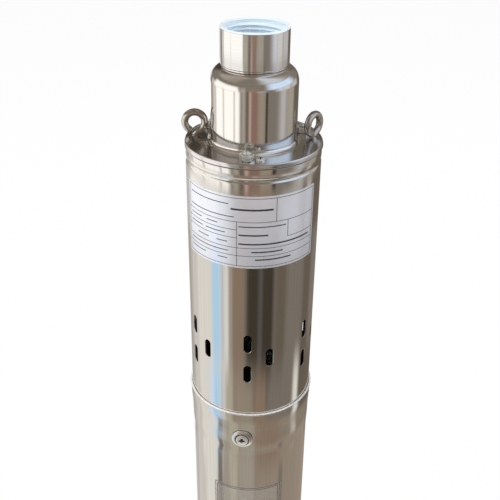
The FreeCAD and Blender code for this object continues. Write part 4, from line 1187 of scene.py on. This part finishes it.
@dataclass
class MotorTube:
    """The motor's casing, rolled in at its foot and flared over the pump's tube."""

    radius: float = 37.8
    wall: float = 0.8
    lip: float = 38.9
    length: float = 330.0
    land: float = 4.0
    taper: float = 5.0
    swell: tuple[Point, ...] = ((37.8, 297.0), (38.2, 303.0), (38.3, 313.0), (38.9, 323.5))
    swell_rounds: tuple[float, ...] = (2.6, 2.6, 3.5, 2.0)
    flare_round: float = 2.0
    roll: float = 2.5
    roll_reach: float = 4.2
    bead: float = 0.5
    bead_height: float = 1.4
    bead_slope: float = 0.1
    bead_round: float = 0.45
    mouth_round: float = 0.2
    highlight_band: Point = (0.3, 0.45)

    def build(self) -> None:
        """Make the tube."""
        knee = self.length - self.land - self.taper
        shelf = self.length - self.land
        profile = [
            (self.radius - self.roll_reach, 0.0),
            (self.radius, 0.0),
            *self.swell,
            (self.lip, self.length - self.bead_height),
            (self.lip + self.bead, self.length - self.bead_height + self.bead_slope),
            (self.lip + self.bead, self.length - self.bead_slope),
            (self.lip - self.wall, self.length),
            (self.lip - self.wall, shelf),
            (self.radius - self.wall, knee),
            (self.radius - self.wall, self.wall),
            (self.radius - self.roll_reach, self.wall),
        ]
        rounds = {1: self.roll, **dict(enumerate(self.swell_rounds, 2)), 7: self.bead_round,
                  8: self.bead_round, 9: self.mouth_round, 10: self.flare_round, 11: self.flare_round,
                  12: self.roll - self.wall}
        bm = lathe(profile, 288, rounds=rounds, segments=6)
        # Painted highlight: the top of the lip's bead takes the near-white finish.
        across, down = self.highlight_band
        mark(bm, lambda middle, _: middle.z > self.length - down and middle.xy.length > self.lip - across)
        make_piece("flared_casing", bm, CASING_STEEL, replaces=("motor_casing",), second=LIP_PAINTED_HIGHLIGHT)


@dataclass
class CasingScrews:
    """The radial screws with cross recesses, each in its cup washer."""

    seat: float = 37.8
    levels: tuple[float, float] = (309.6, 49.0)
    azimuths: tuple[float, ...] = (-6.0, 114.0, -126.0)
    cup_height: float = 2.0
    head: float = 3.9
    dome: float = 1.05
    arm: float = 1.4
    shank: Point = (2.5, -8.5)
    play: float = 0.6
    land: float = 1.1
    cup: float = 6.6
    cup_side: float = 1.0
    dish: float = 0.15
    lift: float = 0.02
    bore: float = 2.75

    def build(self) -> None:
        """Make all the screws and all the washers."""
        screws = []
        washers = []
        for level in self.levels:
            for azimuth in self.azimuths:
                outward = (azimuth_turn(azimuth) @ Matrix.Translation((0.0, -self.seat, level))
                           @ Matrix.Rotation(TURN / 4, 4, "X"))
                screws.append(placed(self.screw(), outward))
                washers.append(placed(self.washer(), outward))
        make_piece("recessed_casing_screws", join(screws), NUT_STEEL, replaces=("casing_screws",),
                   second=SHADOW_STEEL)
        make_piece("dished_cup_washers", join(washers), CUP_STEEL, replaces=("cup_washers",),
                   second=SHADOW_STEEL)

    def screw(self) -> BMesh:
        """Make one screw.

        Returns:
            The screw, its head standing up along Z from the tube's surface.
        """
        head = placed(RecessedHead(self.head, self.dome, self.arm, 7).make(), (0.0, 0.0, self.cup_height))
        crown = self.cup_height + self.lift
        side, tip = self.shank
        cone = lathe([(0.0, tip), (side, tip), (side, 0.0), (self.head, crown), (0.0, crown)], 48)
        return join([head, cone])

    def washer(self) -> BMesh:
        """Make one dished washer with a rounded crown.

        Returns:
            The washer, standing up along Z from the tube's surface.
        """
        bm = lathe([
            (self.bore, self.lift),
            (self.cup, self.lift),
            (self.cup, self.cup_side),
            (self.head + self.land, self.cup_height),
            (self.head + self.play, self.cup_height),
            (self.bore, self.dish),
        ], 64, rounds={2: 0.2, 3: 0.3}, segments=4)
        # Painted shade: the well round the head and the cup's outer foot take the near-black second
        # finish.
        well = self.head + self.play + 0.01
        return mark(bm, lambda middle, _: middle.xy.length < well
                    or (middle.z < self.cup_side - self.dish and middle.xy.length > self.cup - 0.05))


@dataclass
class RatingLabel:
    """The white sticker on the pump, ruled like a form, with nothing written in it."""

    radius: float = 38.0
    left: float = -66.0
    right: float = 62.0
    bottom: float = 433.7
    top: float = 477.4
    thickness: float = 0.08
    rounding: float = 1.2
    ink: float = 0.02
    facet: float = 2.5
    frame_inset: float = 1.4
    middle: float = -11.9
    corner: float = 20.8
    box: float = 31.3
    head_rule: float = 462.1
    short_rules: tuple[float, ...] = (457.2, 452.4)
    long_rules: tuple[float, ...] = (446.3, 441.4)
    box_bottom: float = 451.9
    rule_weight: float = 0.34
    lines: tuple[Patch, ...] = (
        (-61.0, -19.0, 472.2, 0.5),
        (-17.0, 18.0, 469.4, 1.1),
        (-61.0, -14.0, 464.8, 0.5),
        (-61.0, -46.0, 459.7, 0.5),
        (-40.0, -29.0, 459.7, 0.5),
        (-61.0, -45.0, 454.8, 0.5),
        (-41.0, -22.0, 454.8, 0.5),
        (-51.0, -38.0, 449.4, 0.5),
        (-30.0, -20.0, 449.4, 0.5),
        (-61.0, -19.0, 443.9, 0.5),
        (-61.0, -42.0, 439.1, 0.5),
        (-29.0, -20.0, 439.1, 0.5),
        (-10.5, 29.5, 459.3, 0.6),
        (-10.5, 14.0, 454.2, 0.9),
        (-10.5, 55.0, 448.8, 0.9),
        (0.5, 27.0, 443.9, 0.8),
        (3.5, 35.0, 439.1, 0.8),
    )
    rules: list[Patch] = field(default_factory=list)

    def build(self) -> None:
        """Make the sticker and its printed rules."""
        self.stick("rating_label", [(self.left, self.bottom, self.right, self.top)], LABEL_PAPER,
                   self.thickness, self.rounding)
        self.plan()
        self.stick("rating_label_rules", self.rules, LABEL_GREY, self.thickness + self.ink)
        self.rules = []
        for left, right, level, weight in self.lines:
            self.row(left, right, level, weight)
        self.stick("rating_label_lines", self.rules, LABEL_INK, self.thickness + self.ink)

    def stick(self, name: str, patches: Sequence[Patch], finish: Finish, thickness: float,
              rounding: float = 0.0) -> None:
        """Stick patches onto the tube as one piece.

        Args:
            name: The piece's name.
            patches: The left, lower, right and upper bound of each.
            finish: Their finish.
            thickness: Their thickness.
            rounding: How far back their corners are rounded.
        """
        bent = []
        for left, bottom, right, top in patches:
            patch = panel((self.girth(left), bottom), (self.girth(right), top), rounding)
            bent.append(self.bent(patch, thickness))
        make_piece(name, join(bent), finish, sharp=60.0, even=False)

    def girth(self, azimuth: float) -> float:
        """The place of an azimuth along the tube's girth."""
        return math.radians(azimuth) * self.radius

    def bent(self, bm: BMesh, thickness: float) -> BMesh:
        """Give a flat patch its thickness and bend it onto the tube.

        Args:
            bm: The patch.
            thickness: Its thickness.

        Returns:
            The bent patch.
        """
        score(bm, self.girth(self.facet))
        bm.normal_update()
        bmesh.ops.solidify(bm, geom=bm.faces[:], thickness=-thickness)
        return wrap(bm, self.radius)

    def plan(self) -> None:
        """Lay out the frame, the rows and the columns of the form."""
        thin = self.rule_weight
        left, bottom, right, top = self.frame(self.frame_inset, thin)
        self.row(left, right, self.head_rule, thin)
        for level in self.short_rules:
            self.row(left, self.middle, level, thin)
        for level in self.long_rules:
            self.row(left, right, level, thin)
        self.row(self.box, right, self.box_bottom, thin)
        self.column(self.middle, bottom, self.head_rule, thin)
        self.column(self.corner, self.head_rule, top, thin)
        self.column(self.box, self.box_bottom, self.head_rule, thin)

    def frame(self, inset: float, weight: float) -> Patch:
        """Rule a frame inside the sticker's outline.

        Args:
            inset: Its distance from the outline.
            weight: Its thickness.

        Returns:
            Its left, lower, right and upper bound.
        """
        side = math.degrees(inset / self.radius)
        left, right = self.left + side, self.right - side
        bottom, top = self.bottom + inset, self.top - inset
        for level in (bottom, top):
            self.row(left, right, level, weight)
        for azimuth in (left, right):
            self.column(azimuth, bottom, top, weight)
        return left, bottom, right, top

    def row(self, left: float, right: float, level: float, weight: float) -> None:
        """Rule a level line.

        Args:
            left: The azimuth of its left end.
            right: The azimuth of its right end.
            level: Its level.
            weight: Its thickness.
        """
        self.rules.append((left, level - weight / 2, right, level + weight / 2))

    def column(self, azimuth: float, bottom: float, top: float, weight: float) -> None:
        """Rule an upright line.

        Args:
            azimuth: Its azimuth.
            bottom: Its lower end.
            top: Its upper end.
            weight: Its thickness.
        """
        half = math.degrees(weight / 2 / self.radius)
        self.rules.append((azimuth - half, bottom, azimuth + half, top))


@dataclass
class LowerFilm:
    """The clear film low on the motor, with a double border round an empty field."""

    radius: float = 37.8
    left: float = -36.0
    right: float = 34.3
    bottom: float = 226.0
    top: float = 266.6
    thickness: float = 0.06
    rounding: float = 1.5
    ink: float = 0.02
    insets: Point = (0.7, 2.1)
    border: float = 0.32

    def build(self) -> None:
        """Make the film and its border."""
        film = RatingLabel(self.radius, self.left, self.right, self.bottom, self.top)
        film.stick("lower_film", [(self.left, self.bottom, self.right, self.top)], LABEL_FILM,
                   self.thickness, self.rounding)
        for inset in self.insets:
            film.frame(inset, self.border)
        film.stick("lower_film_border", film.rules, LABEL_INK, self.thickness + self.ink)


@dataclass
class Solids:
    """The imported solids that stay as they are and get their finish."""

    # Painted shade: these inner parts take the near-black finish in place of their slot's own.
    painted_shade_parts: tuple[str, ...] = ("stator_sleeve", "stator_guide_ring", "clamp_ring", "shaft_coupling",
                              "coupling_rod", "motor_shaft")

    def build(self) -> None:
        """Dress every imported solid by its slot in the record."""
        slots = {entry["node"]: entry["material_slot"] for entry in FRAME["record"]["subparts"]}
        for name, node in FRAME["nodes"].items():
            node.data.materials.clear()
            finish = INNER_PAINTED_SHADE if name in self.painted_shade_parts else SLOT_FINISHES[slots[name]]
            node.data.materials.append(finish.material())
        log.info("%d solids dressed", len(FRAME["nodes"]))


# Studio


class Tone(Enum):
    """What the panels of the reflector tent show, as linear colour."""

    WHITE = (1.32, 1.30, 1.26)
    CREAM = (0.95, 0.93, 0.87)
    PEARL = (0.76, 0.73, 0.70)
    SILVER = (0.60, 0.59, 0.58)
    SKY = (0.56, 0.88, 1.18)
    HAZE = (0.96, 1.00, 1.10)
    MIST = (0.68, 0.74, 0.82)
    STONE = (0.45, 0.41, 0.35)
    SAND = (0.56, 0.52, 0.42)
    CLAY = (0.38, 0.32, 0.26)
    TAUPE = (0.25, 0.22, 0.19)
    WARM = (0.32, 0.235, 0.175)
    UMBER = (0.17, 0.14, 0.11)
    ROSE = (0.60, 0.42, 0.37)
    RUST = (0.31, 0.19, 0.16)
    SLATE = (0.115, 0.115, 0.105)
    DARK = (0.065, 0.053, 0.040)
    FROST = (0.80, 0.98, 1.25)


@dataclass(frozen=True)
class Zone:
    """A ring of the tent and its panels.

    The ring lies between two levels in millimetres and fades by its ends. Each panel has a tone, two
    azimuths in degrees from the front and the softness of its sides.
    """

    bottom: float
    top: float
    panels: tuple[tuple[Tone, float, float, float], ...]
    ends: float = 24.0


SOCKET_ZONE = (486.0, 530.0)
NECK_ZONE = (413.0, 486.0)
RIM_ZONE = (354.0, 413.0)
PUMP_ZONE = (190.0, 354.0)
FOOT_ZONE = (105.0, 232.0)
MOTOR_ZONE = (-50.0, 150.0)
STRIPE_ZONE = (505.0, 562.0)
PLATE_ZONE = (530.0, 650.0)
SKY_ZONE = (650.0, 950.0)

# A later panel lies over an earlier one, so their order counts.
ZONES = (
    Zone(-50.0, 413.0, (
        (Tone.SILVER, -190.0, -126.0, 10.0), (Tone.PEARL, -126.0, -90.0, 10.0),
    )),
    Zone(118.0, 354.0, ((Tone.STONE, -148.0, -134.0, 8.0),)),
    Zone(*PUMP_ZONE, (
        (Tone.CREAM, -106.0, -36.0, 10.0), (Tone.SKY, -68.0, -53.0, 7.0), (Tone.MIST, -52.0, -45.0, 6.0),
        (Tone.STONE, -36.0, -29.0, 6.0), (Tone.WARM, -30.0, -10.0, 9.0), (Tone.DARK, -7.0, 38.0, 10.0),
        (Tone.SLATE, 12.0, 19.0, 6.0), (Tone.UMBER, 40.0, 60.0, 14.0), (Tone.UMBER, 98.0, 122.0, 12.0),
        (Tone.CREAM, 162.0, 190.0, 8.0),
    )),
    Zone(*FOOT_ZONE, (
        (Tone.CREAM, -102.0, -40.0, 8.0), (Tone.FROST, -76.0, -66.0, 6.0), (Tone.SKY, -67.0, -54.0, 7.0),
        (Tone.MIST, -53.0, -46.0, 6.0), (Tone.SAND, -44.0, -29.0, 8.0), (Tone.CLAY, -28.0, 8.0, 16.0),
        (Tone.WARM, 8.0, 29.0, 8.0),
    ), 54.0),
    Zone(*FOOT_ZONE, ((Tone.TAUPE, 30.0, 75.0, 8.0),), 60.0),
    Zone(*FOOT_ZONE, (
        (Tone.CREAM, 84.0, 97.0, 10.0), (Tone.UMBER, 101.0, 190.0, 8.0),
    ), 54.0),
    Zone(*MOTOR_ZONE, (
        (Tone.CREAM, -190.0, -144.0, 8.0), (Tone.CREAM, -94.0, -62.0, 10.0),
        (Tone.TAUPE, -61.0, -51.0, 5.0), (Tone.STONE, -50.0, -36.0, 6.0), (Tone.SAND, -36.0, -20.0, 8.0),
        (Tone.STONE, -18.0, 12.0, 10.0), (Tone.CLAY, 12.0, 190.0, 12.0),
    ), 54.0),
    Zone(-50.0, 118.0, ((Tone.TAUPE, 59.0, 68.0, 5.0),)),
    Zone(122.0, 162.0, ((Tone.WARM, 14.0, 58.0, 26.0),), 44.0),
    Zone(118.0, 162.0, ((Tone.TAUPE, 138.0, 190.0, 12.0),), 30.0),
    Zone(*NECK_ZONE, (
        (Tone.WHITE, -190.0, -142.0, 6.0), (Tone.STONE, -142.0, -126.0, 6.0),
        (Tone.PEARL, -125.0, -110.0, 6.0), (Tone.WHITE, -109.0, -34.0, 9.0),
        (Tone.PEARL, -82.0, -78.0, 3.0), (Tone.PEARL, -50.0, -46.0, 3.0), (Tone.STONE, -29.0, -19.0, 9.0),
        (Tone.UMBER, -19.0, -13.0, 5.0), (Tone.ROSE, -11.0, -5.5, 4.0), (Tone.RUST, -5.0, 12.0, 5.0),
        (Tone.CLAY, 11.0, 28.0, 8.0), (Tone.DARK, 29.0, 35.0, 3.0), (Tone.TAUPE, 36.0, 52.0, 5.0),
        (Tone.SILVER, 68.0, 88.0, 26.0), (Tone.STONE, 92.0, 117.0, 12.0), (Tone.UMBER, 120.0, 190.0, 8.0),
    )),
    Zone(*SOCKET_ZONE, (
        (Tone.PEARL, -190.0, -142.0, 6.0), (Tone.TAUPE, -141.0, -131.0, 5.0),
        (Tone.PEARL, -129.0, -116.0, 6.0), (Tone.WHITE, -115.0, -36.0, 6.0),
        (Tone.CREAM, -82.0, -78.0, 3.0), (Tone.SAND, -33.0, -20.0, 8.0), (Tone.UMBER, -19.0, -13.0, 5.0),
        (Tone.ROSE, -11.0, -5.5, 4.0), (Tone.RUST, -5.0, 5.0, 6.0), (Tone.STONE, 6.0, 28.0, 8.0),
        (Tone.TAUPE, 29.0, 35.0, 4.0), (Tone.HAZE, 60.0, 76.0, 34.0), (Tone.PEARL, 77.0, 98.0, 5.0),
        (Tone.SILVER, 98.0, 132.0, 16.0), (Tone.UMBER, 133.0, 190.0, 5.0),
    )),
    Zone(411.0, 421.0, ((Tone.WARM, -4.0, 34.0, 14.0),), 12.0),
    Zone(*RIM_ZONE, (
        (Tone.SILVER, -145.0, -134.0, 6.0), (Tone.PEARL, -132.0, -121.0, 6.0),
        (Tone.WHITE, -120.0, -52.0, 12.0), (Tone.CREAM, -52.0, -38.0, 10.0),
        (Tone.SILVER, -37.0, -29.0, 8.0), (Tone.WARM, -27.0, -2.0, 8.0), (Tone.CLAY, 0.0, 38.0, 10.0),
    )),
    Zone(401.0, 411.0, ((Tone.ROSE, -1.0, 9.0, 8.0),), 10.0),
    Zone(*RIM_ZONE, (
        (Tone.SILVER, 44.0, 82.0, 14.0), (Tone.TAUPE, 85.0, 93.0, 5.0), (Tone.SILVER, 95.0, 106.0, 6.0),
        (Tone.UMBER, 110.0, 153.0, 8.0),
    )),
    Zone(*PLATE_ZONE, (
        (Tone.DARK, -190.0, -146.0, 20.0), (Tone.UMBER, 150.0, 190.0, 20.0),
    )),
    Zone(*PLATE_ZONE, ((Tone.TAUPE, -134.0, -40.0, 24.0),), 60.0),
    Zone(*PLATE_ZONE, ((Tone.FROST, 34.0, 112.0, 30.0),)),
    Zone(*PLATE_ZONE, ((Tone.TAUPE, -44.0, 26.0, 20.0),), 60.0),
    Zone(*STRIPE_ZONE, (
        (Tone.WHITE, -108.0, -38.0, 12.0), (Tone.STONE, -32.0, -19.0, 10.0),
        (Tone.TAUPE, -19.0, -12.0, 6.0), (Tone.WARM, -10.0, 10.0, 8.0),
    ), 44.0),
    Zone(*SKY_ZONE, (
        (Tone.CLAY, -190.0, 190.0, 2.0), (Tone.STONE, -132.0, -84.0, 40.0),
        (Tone.UMBER, -190.0, -130.0, 30.0), (Tone.TAUPE, 124.0, 190.0, 30.0),
        (Tone.TAUPE, -50.0, 14.0, 30.0), (Tone.MIST, 30.0, 96.0, 44.0),
    ), 60.0),
)


@dataclass
class Tent:
    """A round tent of soft panels that shows only in polished metal."""

    radius: float = 200.0
    bottom: float = 0.0
    top: float = 900.0
    ground: Tone = Tone.TAUPE
    zones: tuple[Zone, ...] = ZONES

    def build(self) -> None:
        """Stand the tent, with its lid, round the pump."""
        profile = [(self.radius, self.bottom), (self.radius, self.top), (0.0, self.top)]
        bm = lathe(profile, 128, closed=False)
        bmesh.ops.remove_doubles(bm, verts=bm.verts, dist=1e-3)
        tent = stand("tent", placed(bm, Matrix.Scale(MM, 4)), [self.material()])
        for ray in ("camera", "diffuse", "transmission", "shadow"):
            setattr(tent, f"visible_{ray}", False)

    def material(self) -> bpy.types.Material:
        """Make the glow of the panels, laid over each other in turn.

        Returns:
            The tent's material.
        """
        material = bpy.data.materials.new("tent")
        nodes = Nodes(material)
        place = nodes.add("SeparateXYZ", {0: nodes.add("TexCoord").outputs["Object"]}).outputs
        ahead = nodes.maths("MULTIPLY", place["Y"], -1.0)
        turned = nodes.maths("ARCTAN2", place["X"], ahead)
        azimuth = nodes.maths("MULTIPLY", turned, 360.0 / TURN)
        level = nodes.maths("MULTIPLY", place["Z"], 1.0 / MM)
        colour = (*self.ground.value, 1.0)
        for zone in self.zones:
            up = self.window(nodes, level, zone.bottom, zone.top, zone.ends)
            for tone, start, end, side in zone.panels:
                across = self.window(nodes, azimuth, start, end, side)
                colour = nodes.blend(nodes.maths("MULTIPLY", across, up), colour, (*tone.value, 1.0))
        glow = nodes.add("Emission", {"Color": colour})
        nodes.add("OutputMaterial", {"Surface": glow.outputs[0]})
        return material

    def window(self, nodes: Nodes, value: NodeSocket, low: float, high: float, soft: float) -> NodeSocket:
        """A value that is 1 between two bounds and fades softly outside them.

        Args:
            nodes: The node tree.
            value: The value that is compared.
            low: The lower bound.
            high: The upper bound.
            soft: The width of each fade.

        Returns:
            The share from 0 to 1.
        """
        rise, fall = (nodes.spread(value, before, 1.0 - before, edge - soft / 2, edge + soft / 2,
                                   interpolation_type="SMOOTHSTEP")
                      for edge, before in ((low, 0.0), (high, 1.0)))
        return nodes.maths("MULTIPLY", rise, fall)


@dataclass
class Studio:
    """A plain pale floor, soft light, the reflector tent and the camera."""

    floor_grey: float = 0.88
    floor_white: float = 0.94
    daylight: Colour = (0.93, 0.95, 1.0)
    daylight_strength: float = 0.55
    boxes: tuple[tuple[str, Place, float, float], ...] = (
        ("soft_left", (-1.3, -0.9, 1.7), 1.4, 26.0),
        ("soft_right", (1.4, -0.6, 1.5), 1.2, 12.0),
        ("soft_back", (0.2, 1.3, 1.9), 1.2, 14.0),
    )
    aim: Place = (0.0, 0.0, 0.42)
    camera_place: Place = (0.00775, -0.40579, 0.6519)
    pitch: float = 29.296
    yaw: float = -1.281
    roll: float = 0.657
    focal: float = 776.8
    frame_width: float = 500.0

    def build(self) -> None:
        """Set up everything that isn't the pump."""
        self.build_floor()
        Tent().build()
        self.build_lights()
        self.build_world()
        self.build_camera()
        bpy.context.scene.view_settings.view_transform = "Standard"

    def seen(self, nodes: Nodes) -> NodeSocket:
        """The value that is 1 where the camera, gloss or glass looks.

        Args:
            nodes: The node tree to add it to.

        Returns:
            The value.
        """
        path = nodes.add("LightPath").outputs
        gloss = nodes.maths("MAXIMUM", path["Is Camera Ray"], path["Is Glossy Ray"])
        return nodes.maths("MAXIMUM", gloss, path["Is Transmission Ray"])

    def build_floor(self) -> None:
        """Lay the floor, which looks white and still takes a shadow."""
        material = bpy.data.materials.new("floor")
        nodes = Nodes(material)
        matt = nodes.add("BsdfDiffuse", {"Color": (*(self.floor_grey,) * 3, 1.0)})
        glow = nodes.add("Emission")
        share = nodes.maths("MULTIPLY", self.seen(nodes), self.floor_white)
        mix = nodes.add("MixShader", {0: share, 1: matt.outputs[0], 2: glow.outputs[0]})
        nodes.add("OutputMaterial", {"Surface": mix.outputs[0]})
        bm = bmesh.new()
        bmesh.ops.create_grid(bm, x_segments=4, y_segments=4, size=6.0)
        stand("floor", bm, [material])

    def build_lights(self) -> None:
        """Hang three soft boxes round the pump."""
        for name, place, size, power in self.boxes:
            lamp = bpy.data.lights.new(name, "AREA")
            lamp.size = size
            lamp.energy = power
            light = bpy.data.objects.new(name, lamp)
            light.location = place
            aim = Vector(self.aim) - Vector(place)
            light.rotation_euler = aim.to_track_quat("-Z", "Y").to_euler()
            light.visible_glossy = False
            bpy.context.scene.collection.objects.link(light)

    def build_world(self) -> None:
        """Surround the pump with even pale light, white where it is seen."""
        world = bpy.data.worlds.new("studio")
        nodes = Nodes(world)
        daylight = {"Color": (*self.daylight, 1.0), "Strength": self.daylight_strength}
        light = nodes.add("Background", daylight)
        white = nodes.add("Background", {"Color": (1.0, 1.0, 1.0, 1.0)})
        mix = nodes.add("MixShader", {0: self.seen(nodes), 1: light.outputs[0], 2: white.outputs[0]})
        nodes.add("OutputWorld", {"Surface": mix.outputs[0]})
        bpy.context.scene.world = world

    def build_camera(self) -> None:
        """Place the camera at the photograph's angle."""
        pitch, yaw, roll = (math.radians(angle) for angle in (self.pitch, self.yaw, self.roll))
        flat = math.cos(pitch)
        ahead = Vector((math.sin(yaw) * flat, math.cos(yaw) * flat, -math.sin(pitch)))
        level = ahead.cross(Vector(UP)).normalized()
        upright = level.cross(ahead)
        right = level * math.cos(roll) + upright * math.sin(roll)
        top = upright * math.cos(roll) - level * math.sin(roll)
        turned = Matrix((right, top, -ahead)).transposed().to_4x4()
        lens = bpy.data.cameras.new("camera")
        lens.sensor_width = 36.0
        lens.lens = self.focal / self.frame_width * lens.sensor_width
        lens.clip_start = 0.01
        camera = bpy.data.objects.new("camera", lens)
        camera.matrix_world = Matrix.Translation(self.camera_place) @ turned
        bpy.context.scene.collection.objects.link(camera)
        bpy.context.scene.camera = camera


def main() -> None:
    """Build the studio and the pump's sub-assemblies in order."""
    logging.basicConfig(level=logging.INFO, format="%(name)s: %(message)s")
    assemblies = [
        Studio(),
        Solids(),
        Outlet(),
        Head(),
        PlateHardware(),
        RopeEye(Side.LEFT),
        RopeEye(Side.RIGHT),
        PumpTube(),
        MotorTube(),
        CasingScrews(),
        RatingLabel(),
        LowerFilm(),
    ]
    for assembly in assemblies:
        assembly.build()
        log.info("%s finished", type(assembly).__name__)


if __name__ == "__main__":
    main()
